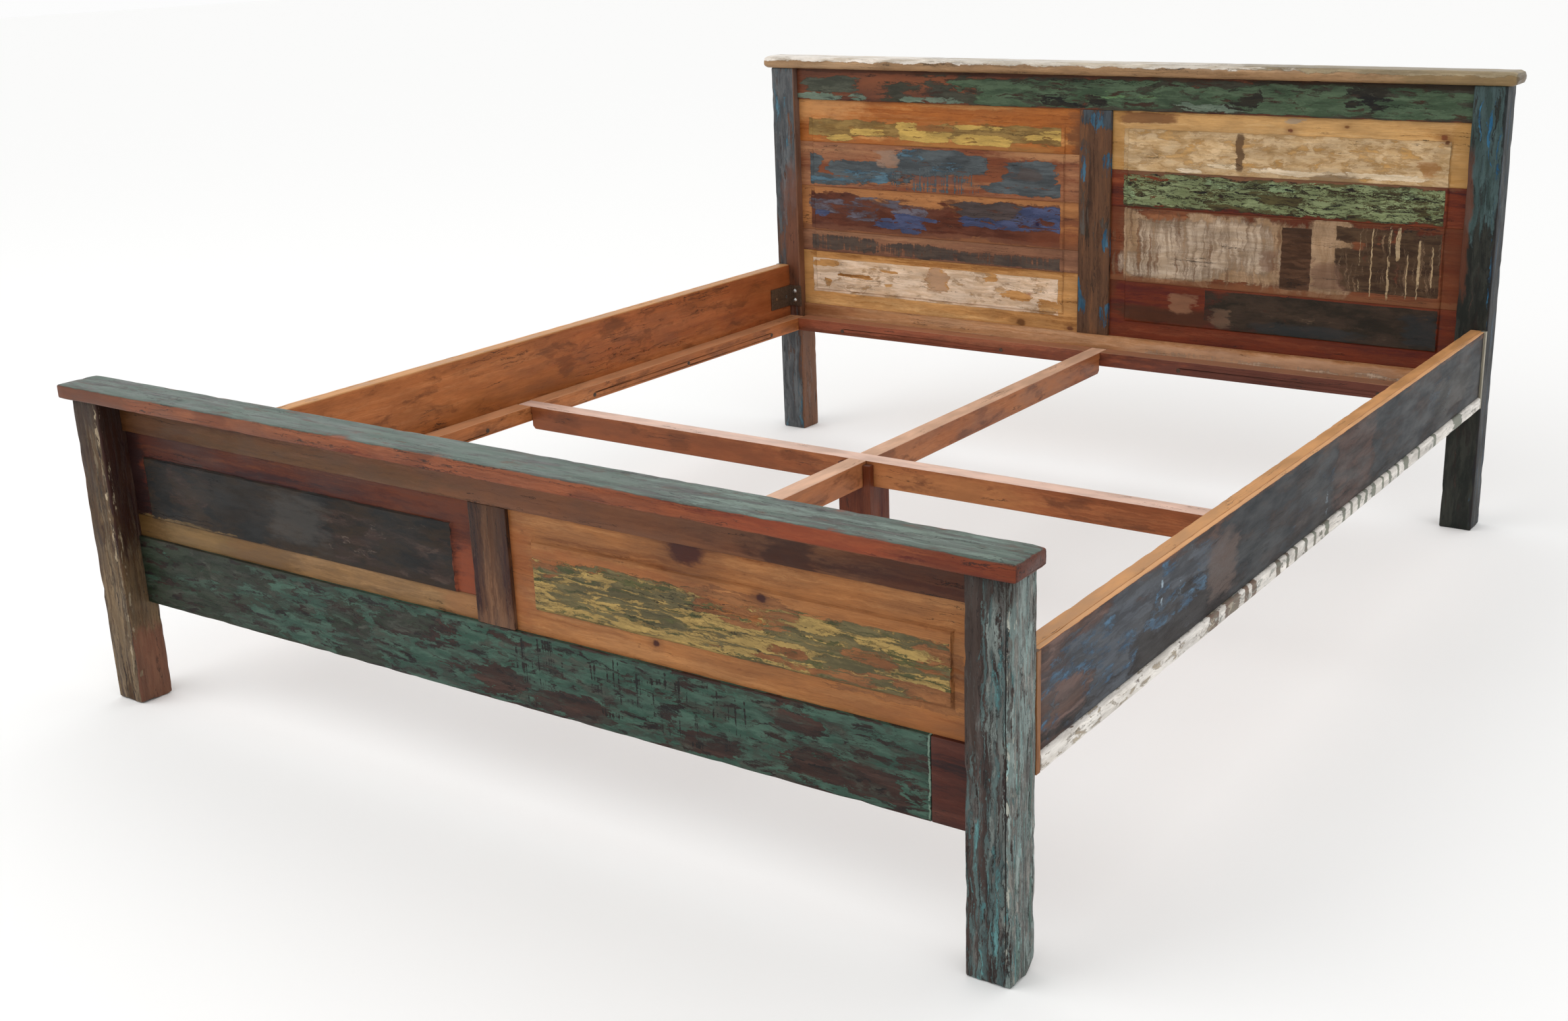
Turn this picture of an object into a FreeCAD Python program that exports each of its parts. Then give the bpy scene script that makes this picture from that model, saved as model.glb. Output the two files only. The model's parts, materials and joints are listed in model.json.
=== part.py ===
import FreeCAD, Part
import os
import re
import Sketcher

# Wooden bed frame for a 1800 x 2000 mm mattress, in millimetres, standing on z = 0.
# The origin is on the floor under the middle of the bed. The foot end faces -Y, the head end +Y,
# and "left" and "right" are those of somebody standing at the foot and looking at the head.

SIZES = {
    # posts
    "post_outer": 940,
    "post_wide": 70,
    "post_deep": 66,
    "foot_post_tall": 575,
    "head_post_tall": 972,
    "foot_front": -1098,
    "post_spacing": 2142,
    # caps
    "foot_cap_thick": 25,
    "foot_cap_side": 13,
    "foot_cap_front": 16,
    "head_cap_thick": 30,
    "head_cap_side": 20,
    "head_cap_front": 12,
    "head_cap_back": 4,
    "foot_cap_round": 3,
    "head_cap_round": 12,
    # frames of the two end boards
    "board_thick": 22,
    "foot_recess": 44,
    "head_recess": 16,
    "foot_rail_low": 188,
    "foot_rail_top": 315,
    "foot_head_rail_low": 512,
    "head_rail_low": 284,
    "head_rail_top": 351,
    "head_head_rail_low": 892,
    "foot_stile_middle": 13,
    "foot_stile_wide": 78,
    "head_stile_middle": -8,
    "head_stile_wide": 84,
    "end_block_long": 76,
    # tenons, grooves and panels
    "tenon_long": 30,
    "stile_tenon": 20,
    "shoulder": 8,
    "groove_deep": 8,
    "groove_wide": 8,
    "groove_back": 7,
    "field_raise": 4,
    "field_bevel": 4,
    "foot_border": 42,
    "head_border": 40,
    "foot_lower_plank": 355,
    # side rails
    "side_low": 284,
    "side_top": 456,
    "side_thick": 36,
    "side_core": 24,
    "face_board": 8,
    "moulding_tall": 27,
    "moulding_thick": 14,
    "moulding_bevel": 5,
    "moulding_bevel_tall": 6,
    "end_strip": 11,
    # ledgers and the drop-in centre support
    "ledger_deep": 42,
    "ledger_tall": 34,
    "beam_wide": 40,
    "beam_tall": 52,
    "beam_play": 0.5,
    "tongue_tall": 17,
    "tongue_gap": 4,
    "end_gap": 1,
    "beam_chamfer": 7,
    "long_beam_x": 14,
    "cross_beam_y": -12,
    "leg_wide": 75,
    "leg_deep": 70,
    "leg_tall": 312,
    # steel
    "bracket_rail_leg": 90,
    "bracket_post_leg": 38,
    "bracket_tall": 55,
    "bracket_thick": 4,
    "bracket_low": 345,
    "bolt_shank": 6,
    "bolt_head": 13,
    "bolt_crown": 6.5,
    "bolt_head_tall": 5,
    "bolt_long": 42,
    "bolt_spacing": 25,
    "bolt_inset": 17,
    "screw_shank": 4,
    "screw_head": 8,
    "screw_head_tall": 3,
    "screw_long": 24,
    "screw_first": 24,
    "screw_second": 68,
    "ledger_screw_shank": 5,
    "ledger_screw_head": 10,
    "ledger_screw_long": 58,
    "ledger_screw_inset": 150,
    "ledger_screw_up": 11,
    "dowel_wide": 10,
    "dowel_long": 36,
    "dowel_inset": 330,
}

# heights of the joints between the planks of the two headboard panels, from the top down
HEAD_LEFT_JOINTS = (784, 668, 552, 496)
HEAD_RIGHT_JOINTS = (754, 667, 489)

SIDES = (("left", -1), ("right", 1))

doc = FreeCAD.newDocument("bed_frame")
sheet = doc.addObject("Spreadsheet::Sheet", "Sizes")
for row, (alias, size) in enumerate(SIZES.items(), start=1):
    sheet.set("A%d" % row, alias)
    sheet.set("B%d" % row, str(size))
    sheet.setAlias("B%d" % row, alias)
doc.recompute()

nodes = []


def bound(text):
    """The expression that reads the named sizes of the sheet."""
    return re.sub(r"[a-z][a-z_]*", lambda word: "Sizes." + word.group(0), str(text))


def value(text):
    """What an expression of sheet sizes comes to now."""
    return float(sheet.evalExpression(bound(text)))


def place(thing, x, y, z):
    for axis, text in zip("xyz", (x, y, z)):
        thing.setExpression("Placement.Base." + axis, bound(text))
    return thing


def node(thing, label):
    """Name a finished sub-part and list it for export."""
    thing.Label = label
    nodes.append(thing)
    return thing


def block(label, x, y, z):
    """A box between two expressions along each axis."""
    box = doc.addObject("Part::Box", label)
    box.setExpression("Length", bound("(%s) - (%s)" % (x[1], x[0])))
    box.setExpression("Width", bound("(%s) - (%s)" % (y[1], y[0])))
    box.setExpression("Height", bound("(%s) - (%s)" % (z[1], z[0])))
    return place(box, x[0], y[0], z[0])


def joined(label, shapes):
    fused = doc.addObject("Part::MultiFuse", label)
    fused.Shapes = shapes
    fused.Refine = True
    return fused


def group(label, shapes):
    """Separate solids kept together in one compound."""
    kept = doc.addObject("Part::Compound", label)
    kept.Links = shapes
    return kept


def without(label, base, tools):
    """A piece with several tools cut out of it."""
    for number, tool in enumerate(tools, start=1):
        cut = doc.addObject("Part::Cut", "%s_cut_%d" % (label, number))
        cut.Base = base
        cut.Tool = tool
        base = cut
    return base


def span(side, inner, outer):
    """The x range between two distances from the middle, on one side of the bed."""
    return ("-(%s)" % outer, "-(%s)" % inner) if side < 0 else (inner, outer)


def rod(label, radius, length, x, y, z, turn=None):
    """A cylinder from a point, along +Z or along a turned axis."""
    cylinder = doc.addObject("Part::Cylinder", label)
    cylinder.setExpression("Radius", bound(radius))
    cylinder.setExpression("Height", bound(length))
    if turn is not None:
        cylinder.Placement.Rotation = turn
    return place(cylinder, x, y, z)


def cone(label, start, end, length, x, y, z, turn):
    taper = doc.addObject("Part::Cone", label)
    taper.setExpression("Radius1", bound(start))
    taper.setExpression("Radius2", bound(end))
    taper.setExpression("Height", bound(length))
    taper.Placement.Rotation = turn
    return place(taper, x, y, z)


def turned_to(direction):
    """The rotation that lays +Z along a direction."""
    return FreeCAD.Rotation(FreeCAD.Vector(0, 0, 1), FreeCAD.Vector(*direction))


def origin_plane(body, role):
    return next(plane for plane in body.Origin.OriginFeatures if plane.Role == role)


def outline(body, name, role, points):
    """A closed sketch of straight lines whose corners are bound to the sheet."""
    sketch = body.newObject("Sketcher::SketchObject", name)
    sketch.AttachmentSupport = (origin_plane(body, role), "")
    sketch.MapMode = "FlatFace"
    corners = [FreeCAD.Vector(value(u), value(v), 0) for u, v in points]
    count = len(corners)
    for index in range(count):
        sketch.addGeometry(Part.LineSegment(corners[index], corners[(index + 1) % count]), False)
    for index in range(count):
        sketch.addConstraint(Sketcher.Constraint("Coincident", index, 2, (index + 1) % count, 1))
    for index, (u, v) in enumerate(points):
        for kind, text in (("DistanceX", u), ("DistanceY", v)):
            at = sketch.addConstraint(Sketcher.Constraint(kind, -1, 1, index, 1, value(text)))
            sketch.setExpression("Constraints[%d]" % at, bound(text))
    return sketch


def padded(label, role, points, length, midplane=True):
    """A body made by padding one outline."""
    body = doc.addObject("PartDesign::Body", label)
    sketch = outline(body, label + "_outline", role, points)
    pad = body.newObject("PartDesign::Pad", label + "_pad")
    pad.Profile = sketch
    pad.Midplane = midplane
    pad.setExpression("Length", bound(length))
    return body


def softened(body, radius, chosen):
    """Round the edges of a body that a test picks."""
    doc.recompute()
    base = body.Tip
    names = []
    for number, edge in enumerate(base.Shape.Edges, start=1):
        if chosen(edge):
            names.append("Edge%d" % number)
    fillet = body.newObject("PartDesign::Fillet", body.Name + "_round")
    fillet.Base = (base, names)
    fillet.setExpression("Radius", bound(radius))
    doc.recompute()
    return body


def horizontal(edge):
    ends = [vertex.Point for vertex in edge.Vertexes]
    return abs(ends[0].z - ends[1].z) < 0.01


# ---- the places that several pieces share ----
foot_face = "foot_front + foot_recess"
foot_back = "foot_front + foot_recess + board_thick"
head_front = "foot_front + post_spacing"
head_face = "foot_front + post_spacing + head_recess"
head_back = "foot_front + post_spacing + head_recess + board_thick"
post_inner = "post_outer - post_wide"
rail_inner = "post_outer - side_thick"
foot_post_back = "foot_front + post_deep"
ledger_top = "side_low + ledger_tall"


def groove_range(face):
    """Where the grooves and tenons lie behind the front of an end board."""
    return ("%s + groove_back" % face, "%s + groove_back + groove_wide" % face)


# Each end of the bed: its name, post front, height of the posts, board face and rail heights.
ENDS = {
    "foot": {
        "front": "foot_front",
        "tall": "foot_post_tall",
        "face": foot_face,
        "low": ("foot_rail_low", "foot_rail_top"),
        "high": ("foot_head_rail_low", "foot_post_tall"),
        "stile": ("foot_stile_middle", "foot_stile_wide"),
    },
    "head": {
        "front": head_front,
        "tall": "head_post_tall",
        "face": head_face,
        "low": ("head_rail_low", "head_rail_top"),
        "high": ("head_head_rail_low", "head_post_tall"),
        "stile": ("head_stile_middle", "head_stile_wide"),
    },
}


# ---- fasteners that the wooden pieces are cut for ----
def dowels(end_name, end):
    """Cap dowels: one in each post and two in the top rail."""
    made = []
    places = []
    for side_name, side in SIDES:
        middle = "%d * (post_outer - post_wide / 2)" % side
        places.append((side_name + "_post", middle, "%s + post_deep / 2" % end["front"]))
        board_middle = "%s + board_thick / 2" % end["face"]
        places.append((side_name + "_rail", "%d * dowel_inset" % side, board_middle))
    for name, x, y in places:
        low = "%s - dowel_long / 2" % end["tall"]
        made.append(rod("%s_%s_dowel" % (end_name, name), "dowel_wide / 2", "dowel_long", x, y, low))
    return made


cap_dowels = {name: dowels(name, end) for name, end in ENDS.items()}
all_dowels = group("cap_dowels", cap_dowels["foot"] + cap_dowels["head"])


def bracket_hardware(end_name, side_name, side):
    """The two bolts into the post and the two screws into the rail of one corner bracket."""
    toward_post = -1 if end_name == "foot" else 1
    post_face = foot_post_back if end_name == "foot" else head_front
    tag = "%s_%s" % (end_name, side_name)
    bolts = []
    for level in (-1, 1):
        x = "%d * (%s - bolt_inset)" % (side, rail_inner)
        plate = "%s - (%d) * bracket_thick" % (post_face, toward_post)
        z = "bracket_low + bracket_tall / 2 + %d * bolt_spacing / 2" % level
        inward = turned_to((0, toward_post, 0))
        outward = turned_to((0, -toward_post, 0))
        name = "%s_bolt_%s" % (tag, "upper" if level > 0 else "lower")
        shank = rod(name + "_shank", "bolt_shank / 2", "bolt_long", x, plate, z, inward)
        head = cone(name + "_head", "bolt_head / 2", "bolt_crown / 2", "bolt_head_tall", x, plate, z, outward)
        bolts.append(joined(name, [shank, head]))
    screws = []
    for order, along in enumerate(("screw_first", "screw_second"), start=1):
        x = "%d * (%s - bracket_thick)" % (side, rail_inner)
        y = "%s - (%d) * %s" % (post_face, toward_post, along)
        z = "bracket_low + bracket_tall / 2"
        outward = turned_to((side, 0, 0))
        name = "%s_screw_%d" % (tag, order)
        shank = rod(name + "_shank", "screw_shank / 2", "screw_long", x, y, z, outward)
        head = cone(name + "_head", "screw_head / 2", "screw_shank / 2", "screw_head_tall", x, y, z, outward)
        screws.append(joined(name, [shank, head]))
    return bolts, screws


bracket_bolts = {}
bracket_screws = {}
for end_name in ENDS:
    for side_name, side in SIDES:
        pair = bracket_hardware(end_name, side_name, side)
        bracket_bolts[end_name, side_name] = group("%s_%s_bolts" % (end_name, side_name), pair[0])
        bracket_screws[end_name, side_name] = group("%s_%s_screws" % (end_name, side_name), pair[1])


def ledger_screw(name, x, y, direction):
    """A countersunk screw through a ledger into the board behind it."""
    z = "side_low + ledger_screw_up"
    turn = turned_to(direction)
    shank = rod(name + "_shank", "ledger_screw_shank / 2", "ledger_screw_long", x, y, z, turn)
    head = cone(name + "_head", "ledger_screw_head / 2", "ledger_screw_shank / 2", "screw_head_tall",
                x, y, z, turn)
    return joined(name, [shank, head])


SIDE_SCREWS = 6
END_SCREWS = 4
ledger_screws = {}
for side_name, side in SIDES:
    row = []
    for number in range(SIDE_SCREWS):
        share = "(post_spacing - post_deep - 2 * ledger_screw_inset) * %d / %d" % (number, SIDE_SCREWS - 1)
        y = "%s + ledger_screw_inset + %s" % (foot_post_back, share)
        x = "%d * (%s - ledger_deep)" % (side, rail_inner)
        row.append(ledger_screw("%s_ledger_screw_%d" % (side_name, number + 1), x, y, (side, 0, 0)))
    ledger_screws[side_name] = group("ledger_screws_" + side_name, row)
for end_name, face, inward in (("foot", foot_back, -1), ("head", head_face, 1)):
    row = []
    for number in range(END_SCREWS):
        share = "2 * (%s - ledger_screw_inset) * %d / %d" % (post_inner, number, END_SCREWS - 1)
        x = "ledger_screw_inset - (%s) + %s" % (post_inner, share)
        y = "%s - (%d) * ledger_deep" % (face, inward)
        row.append(ledger_screw("%s_ledger_screw_%d" % (end_name, number + 1), x, y, (0, inward, 0)))
    ledger_screws[end_name] = group("ledger_screws_" + end_name, row)


# ---- posts ----
def post(end_name, end, side_name, side):
    """A square post with a panel groove, two rail mortises and the holes of its fasteners."""
    label = "%s_post_%s" % (end_name, side_name)
    blank = block(label + "_blank", span(side, post_inner, "post_outer"),
                  (end["front"], "%s + post_deep" % end["front"]), (0, end["tall"]))
    y = groove_range(end["face"])
    groove = block(label + "_groove", span(side, post_inner, post_inner + " + groove_deep"), y,
                   ("%s - groove_deep" % end["low"][1], "%s + groove_deep" % end["high"][0]))
    depth = span(side, post_inner, post_inner + " + tenon_long")
    low = block(label + "_low_mortise", depth, y,
                ("%s + shoulder" % end["low"][0], "%s - shoulder" % end["low"][1]))
    high = block(label + "_high_mortise", depth, y,
                 ("%s + shoulder" % end["high"][0], "%s - shoulder" % end["high"][1]))
    tools = [groove, low, high, all_dowels, bracket_bolts[end_name, side_name]]
    return node(without(label, blank, tools), label)


for end_name, end in ENDS.items():
    for side_name, side in SIDES:
        post(end_name, end, side_name, side)


# ---- caps ----
def cap(label, side, front, back, low, thick, radius, dowel_set):
    """A cap board with rounded long and short edges, bored for its dowels."""
    outer = "post_outer + %s" % side
    corners = [("-(%s)" % outer, front), (outer, front), (outer, back), ("-(%s)" % outer, back)]
    body = padded(label + "_board", "XY_Plane", corners, thick, midplane=False)
    softened(body, radius, horizontal)
    place(body, 0, 0, low)
    return node(without(label, body, dowel_set), label)


cap("foot_cap", "foot_cap_side", "foot_front - foot_cap_front", foot_post_back,
    "foot_post_tall", "foot_cap_thick", "foot_cap_round", [all_dowels])
cap("head_cap", "head_cap_side", "%s - head_cap_front" % head_front,
    "%s + post_deep + head_cap_back" % head_front,
    "head_post_tall", "head_cap_thick", "head_cap_round", [all_dowels])


# ---- rails and stiles of the end boards ----
def end_rail(label, end, z, groove_side, x_range, tenon_sides, extra):
    """A rail with tenons in the posts, a panel groove and the mortise of the centre stile."""
    y = (end["face"], "%s + board_thick" % end["face"])
    inner = groove_range(end["face"])
    pieces = [block(label + "_blank", x_range, y, z)]
    for side_name, side in SIDES:
        if side in tenon_sides:
            pieces.append(block("%s_tenon_%s" % (label, side_name),
                                span(side, post_inner, post_inner + " + tenon_long"), inner,
                                ("%s + shoulder" % z[0], "%s - shoulder" % z[1])))
    blank = joined(label + "_with_tenons", pieces)
    middle, wide = end["stile"]
    if groove_side > 0:
        groove_z = ("%s - groove_deep" % z[1], z[1])
        mortise_z = ("%s - stile_tenon" % z[1], z[1])
    else:
        groove_z = (z[0], "%s + groove_deep" % z[0])
        mortise_z = (z[0], "%s + stile_tenon" % z[0])
    groove = block(label + "_groove", ("-(%s)" % post_inner, post_inner), inner, groove_z)
    mortise = block(label + "_mortise", ("%s - %s / 2" % (middle, wide), "%s + %s / 2" % (middle, wide)),
                    inner, mortise_z)
    return without(label, blank, [groove, mortise] + extra)


full_width = ("-(%s)" % post_inner, post_inner)
node(end_rail("foot_top_rail", ENDS["foot"], ENDS["foot"]["high"], -1, full_width, (-1, 1), [all_dowels]),
     "foot_top_rail")
node(end_rail("head_top_rail", ENDS["head"], ENDS["head"]["high"], -1, full_width, (-1, 1), [all_dowels]),
     "head_top_rail")
node(end_rail("head_bottom_rail", ENDS["head"], ENDS["head"]["low"], 1, full_width, (-1, 1),
              [ledger_screws["head"]]), "head_bottom_rail")

# The foot board's bottom rail is lengthened at the right post by a block of other wood,
# which a loose tongue of the rail holds.
splice = "%s - end_block_long" % post_inner
tongue_z = ("foot_rail_low + shoulder", "foot_rail_top - stile_tenon")
splice_reach = (splice, "%s + tenon_long" % splice)
splice_tongue = block("splice_tongue", splice_reach, groove_range(foot_face), tongue_z)
rail = end_rail("foot_bottom_rail_board", ENDS["foot"], ENDS["foot"]["low"], 1,
                ("-(%s)" % post_inner, splice), (-1,), [ledger_screws["foot"]])
node(joined("foot_bottom_rail", [rail, splice_tongue]), "foot_bottom_rail")
end_block = end_rail("foot_bottom_rail_end_block", ENDS["foot"], ENDS["foot"]["low"], 1,
                     (splice, post_inner), (1,), [splice_tongue, ledger_screws["foot"]])
node(end_block, "foot_bottom_rail_end_block")


def stile(end_name, end):
    """The centre stile, with a tenon in each rail and a panel groove down both edges."""
    label = end_name + "_centre_stile"
    middle, wide = end["stile"]
    left = "%s - %s / 2" % (middle, wide)
    right = "%s + %s / 2" % (middle, wide)
    y = groove_range(end["face"])
    low, high = end["low"][1], end["high"][0]
    thickness = (end["face"], "%s + board_thick" % end["face"])
    board = block(label + "_board", (left, right), thickness, (low, high))
    tenon_z = ("%s - stile_tenon" % low, "%s + stile_tenon" % high)
    tenons = block(label + "_tenons", (left, right), y, tenon_z)
    blank = joined(label + "_with_tenons", [board, tenons])
    groove_z = ("%s - groove_deep" % low, "%s + groove_deep" % high)
    grooves = [
        block(label + "_left_groove", (left, left + " + groove_deep"), y, groove_z),
        block(label + "_right_groove", (right + " - groove_deep", right), y, groove_z),
    ]
    return node(without(label, blank, grooves), label)


for end_name, end in ENDS.items():
    stile(end_name, end)


# ---- panels ----
def plank(label, end, x, z, top, bottom, border, field=True):
    """One plank of a panel: its share of the tongued border and of the raised field."""
    y0, y1 = groove_range(end["face"])
    low = "%s - groove_deep" % z[0] if bottom else z[0]
    high = "%s + groove_deep" % z[1] if top else z[1]
    reach = ("%s - groove_deep" % x[0], "%s + groove_deep" % x[1])
    board = block(label + "_board", reach, (y0, y1), (low, high))
    if not field:
        return node(board, label)
    raised = doc.addObject("Part::Wedge", label + "_field")
    field_low = "%s + %s" % (z[0], border) if bottom else z[0]
    field_high = "%s - %s" % (z[1], border) if top else z[1]
    limits = {
        "Xmin": "%s + %s + field_bevel" % (x[0], border),
        "Xmax": "%s - %s - field_bevel" % (x[1], border),
        "X2min": "%s + %s" % (x[0], border),
        "X2max": "%s - %s" % (x[1], border),
        "Ymin": "%s - field_raise" % y0,
        "Ymax": y0,
        "Zmin": field_low + (" + field_bevel" if bottom else ""),
        "Zmax": field_high + (" - field_bevel" if top else ""),
        "Z2min": field_low,
        "Z2max": field_high,
    }
    for name, text in limits.items():
        setattr(raised, name, value(text))
    for name, text in limits.items():
        raised.setExpression(name, bound(text))
    return node(joined(label, [board, raised]), label)


def panel_sides(end):
    middle, wide = end["stile"]
    return {
        "left": ("-(%s)" % post_inner, "%s - %s / 2" % (middle, wide)),
        "right": ("%s + %s / 2" % (middle, wide), post_inner),
    }


foot_sides = panel_sides(ENDS["foot"])
foot_low, foot_high = "foot_rail_top", "foot_head_rail_low"
plank("foot_left_panel_upper_plank", ENDS["foot"], foot_sides["left"], ("foot_lower_plank", foot_high),
      True, False, "foot_border")
plank("foot_left_panel_lower_plank", ENDS["foot"], foot_sides["left"], (foot_low, "foot_lower_plank"),
      False, True, "foot_border", field=False)
plank("foot_right_panel_plank", ENDS["foot"], foot_sides["right"], (foot_low, foot_high),
      True, True, "foot_border")

head_sides = panel_sides(ENDS["head"])
for side_name, joints in (("left", HEAD_LEFT_JOINTS), ("right", HEAD_RIGHT_JOINTS)):
    levels = ["head_head_rail_low"] + [str(joint) for joint in joints] + ["head_rail_top"]
    last = len(levels) - 1
    for number in range(1, last + 1):
        plank("head_%s_panel_plank_%d" % (side_name, number), ENDS["head"], head_sides[side_name],
              (levels[number], levels[number - 1]), number == 1, number == last, "head_border")


# ---- side rails ----
def side_rail(side_name, side):
    """The structural board of one side, with its painted face board, end strips and bottom moulding."""
    y = (foot_post_back, head_front)
    z = ("side_low", "side_top")
    core_outer = "%s + side_core" % rail_inner
    label = "side_rail_" + side_name
    core = block(label + "_board", span(side, rail_inner, core_outer), y, z)
    holes = [bracket_screws["foot", side_name], bracket_screws["head", side_name], ledger_screws[side_name]]
    node(without(label, core, holes), label)
    inner_y = ("%s + end_strip" % y[0], "%s - end_strip" % y[1])
    above = ("side_low + moulding_tall", "side_top")
    face_x = span(side, core_outer, core_outer + " + face_board")
    node(block(label + "_face_board", face_x, inner_y, above), label + "_face_board")
    strip_x = span(side, core_outer, "post_outer")
    foot_strip = block(label + "_foot_strip", strip_x, (y[0], inner_y[0]), z)
    head_strip = block(label + "_head_strip", strip_x, (inner_y[1], y[1]), z)
    node(group(label + "_end_strips", [foot_strip, head_strip]), label + "_end_strips")
    outer = core_outer + " + moulding_thick"
    edge = outer if side > 0 else "-(%s)" % outer
    base = core_outer if side > 0 else "-(%s)" % core_outer
    bevel_in = "(%s) - (%d) * moulding_bevel" % (edge, side)
    corners = [(base, "side_low"), (edge, "side_low"),
               (edge, "side_low + moulding_tall - moulding_bevel_tall"),
               (bevel_in, "side_low + moulding_tall"), (base, "side_low + moulding_tall")]
    moulding = padded(label + "_moulding", "XZ_Plane", corners, "post_spacing - post_deep - 2 * end_strip")
    place(moulding, 0, "foot_front + (post_spacing + post_deep) / 2", 0)
    node(moulding, label + "_moulding")


for side_name, side in SIDES:
    side_rail(side_name, side)


# ---- ledgers ----
def ledger_notch(label, x, y):
    return block(label, x, y, ("%s - tongue_tall" % ledger_top, ledger_top))


cross_span = ("cross_beam_y - beam_wide / 2", "cross_beam_y + beam_wide / 2")
cross_slot = ("%s - beam_play" % cross_span[0], "%s + beam_play" % cross_span[1])
long_span = ("long_beam_x - beam_wide / 2", "long_beam_x + beam_wide / 2")
long_slot = ("%s - beam_play" % long_span[0], "%s + beam_play" % long_span[1])

for side_name, side in SIDES:
    x = span(side, "%s - ledger_deep" % rail_inner, rail_inner)
    label = "ledger_" + side_name
    strip = block(label + "_strip", x, (foot_post_back, head_front), ("side_low", ledger_top))
    notch = ledger_notch(label + "_notch", x, cross_slot)
    node(without(label, strip, [notch, ledger_screws[side_name]]), label)

end_ledger_x = ("-(%s - ledger_deep)" % rail_inner, "%s - ledger_deep" % rail_inner)
for end_name, y in (("foot", (foot_back, "%s + ledger_deep" % foot_back)),
                    ("head", ("%s - ledger_deep" % head_face, head_face))):
    label = "ledger_" + end_name
    strip = block(label + "_strip", end_ledger_x, y, ("side_low", ledger_top))
    notch = ledger_notch(label + "_notch", long_slot, y)
    node(without(label, strip, [notch, ledger_screws[end_name]]), label)


# ---- corner brackets ----
def bracket(end_name, side_name, side):
    """An angle bracket of flat steel: a long leg on the rail, a short one on the post."""
    toward_post = -1 if end_name == "foot" else 1
    post_face = foot_post_back if end_name == "foot" else head_front
    label = "corner_bracket_%s_%s" % (end_name, side_name)

    def x_at(inward):
        return "%d * (%s - %s)" % (side, rail_inner, inward)

    def y_at(away):
        return "%s - (%d) * %s" % (post_face, toward_post, away)

    corners = [
        (x_at("0"), y_at("0")),
        (x_at("0"), y_at("bracket_rail_leg")),
        (x_at("bracket_thick"), y_at("bracket_rail_leg")),
        (x_at("bracket_thick"), y_at("bracket_thick")),
        (x_at("bracket_post_leg"), y_at("bracket_thick")),
        (x_at("bracket_post_leg"), y_at("0")),
    ]
    plate = padded(label + "_plate", "XY_Plane", corners, "bracket_tall", midplane=False)
    place(plate, 0, 0, "bracket_low")
    holes = [bracket_bolts[end_name, side_name], bracket_screws[end_name, side_name]]
    return node(without(label, plate, holes), label)


for end_name in ENDS:
    for side_name, side in SIDES:
        bracket(end_name, side_name, side)

node(group("bracket_bolts", list(bracket_bolts.values())), "bracket_bolts")
node(group("bracket_screws", list(bracket_screws.values())), "bracket_screws")
node(group("ledger_screws", list(ledger_screws.values())), "ledger_screws")
node(all_dowels, "cap_dowels")


# ---- the centre support: two halved beams and a slotted leg ----
beam_low = "%s - beam_tall" % ledger_top
beam_middle = "%s - beam_tall / 2" % ledger_top
tongue_low = "%s - tongue_tall" % ledger_top


def beam_outline(start, end, reach, notch, notch_on_top):
    """Side view of a beam: tongues on the ledgers, chamfered lower corners, half-lap notch."""
    lap = [(notch[0], ledger_top), (notch[0], beam_middle), (notch[1], beam_middle), (notch[1], ledger_top)]
    under = [(u, beam_low if v == ledger_top else v) for u, v in reversed(lap)]
    points = [("%s - %s" % (start, reach), ledger_top)]
    points += lap if notch_on_top else []
    points += [
        ("%s + %s" % (end, reach), ledger_top),
        ("%s + %s" % (end, reach), tongue_low),
        (end, tongue_low),
        (end, "%s + beam_chamfer" % beam_low),
        ("%s - beam_chamfer" % end, beam_low),
    ]
    points += [] if notch_on_top else under
    points += [
        ("%s + beam_chamfer" % start, beam_low),
        (start, "%s + beam_chamfer" % beam_low),
        (start, tongue_low),
        ("%s - %s" % (start, reach), tongue_low),
    ]
    return points


reach = "(ledger_deep + end_gap - tongue_gap)"
long_start = "%s + ledger_deep + end_gap" % foot_back
long_end = "%s - ledger_deep - end_gap" % head_face
long_beam = padded("long_beam", "YZ_Plane", beam_outline(long_start, long_end, reach, cross_slot, True),
                   "beam_wide")
place(long_beam, "long_beam_x", 0, 0)
node(long_beam, "long_beam")

cross_end = "(%s - ledger_deep - end_gap)" % rail_inner
cross_outline = beam_outline("-" + cross_end, cross_end, reach, long_slot, False)
cross_beam = padded("cross_beam", "XZ_Plane", cross_outline, "beam_wide")
place(cross_beam, 0, "cross_beam_y", 0)
node(cross_beam, "cross_beam")

leg_x = ("long_beam_x - leg_wide / 2", "long_beam_x + leg_wide / 2")
leg_y = ("cross_beam_y - leg_deep / 2", "cross_beam_y + leg_deep / 2")
leg_blank = block("centre_leg_blank", leg_x, leg_y, (0, "leg_tall"))
long_cut = block("centre_leg_long_slot", long_slot, leg_y, (beam_low, "leg_tall"))
cross_cut = block("centre_leg_cross_slot", leg_x, cross_slot, (beam_low, "leg_tall"))
node(without("centre_leg", leg_blank, [long_cut, cross_cut]), "centre_leg")

# ---- check and write ----
doc.recompute()
for thing in doc.Objects:
    if "Invalid" in thing.State or "Error" in thing.State:
        raise RuntimeError("%s: %s" % (thing.Label, thing.State))

os.makedirs("parts", exist_ok=True)
for thing in nodes:
    if thing.Shape.isNull() or not thing.Shape.isValid():
        raise RuntimeError("%s has no valid shape" % thing.Label)
    thing.Shape.exportStep(os.path.join("parts", thing.Label + ".step"))
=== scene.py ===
import json
import math
import bmesh
import bpy
from mathutils import Matrix, Vector, noise


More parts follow.
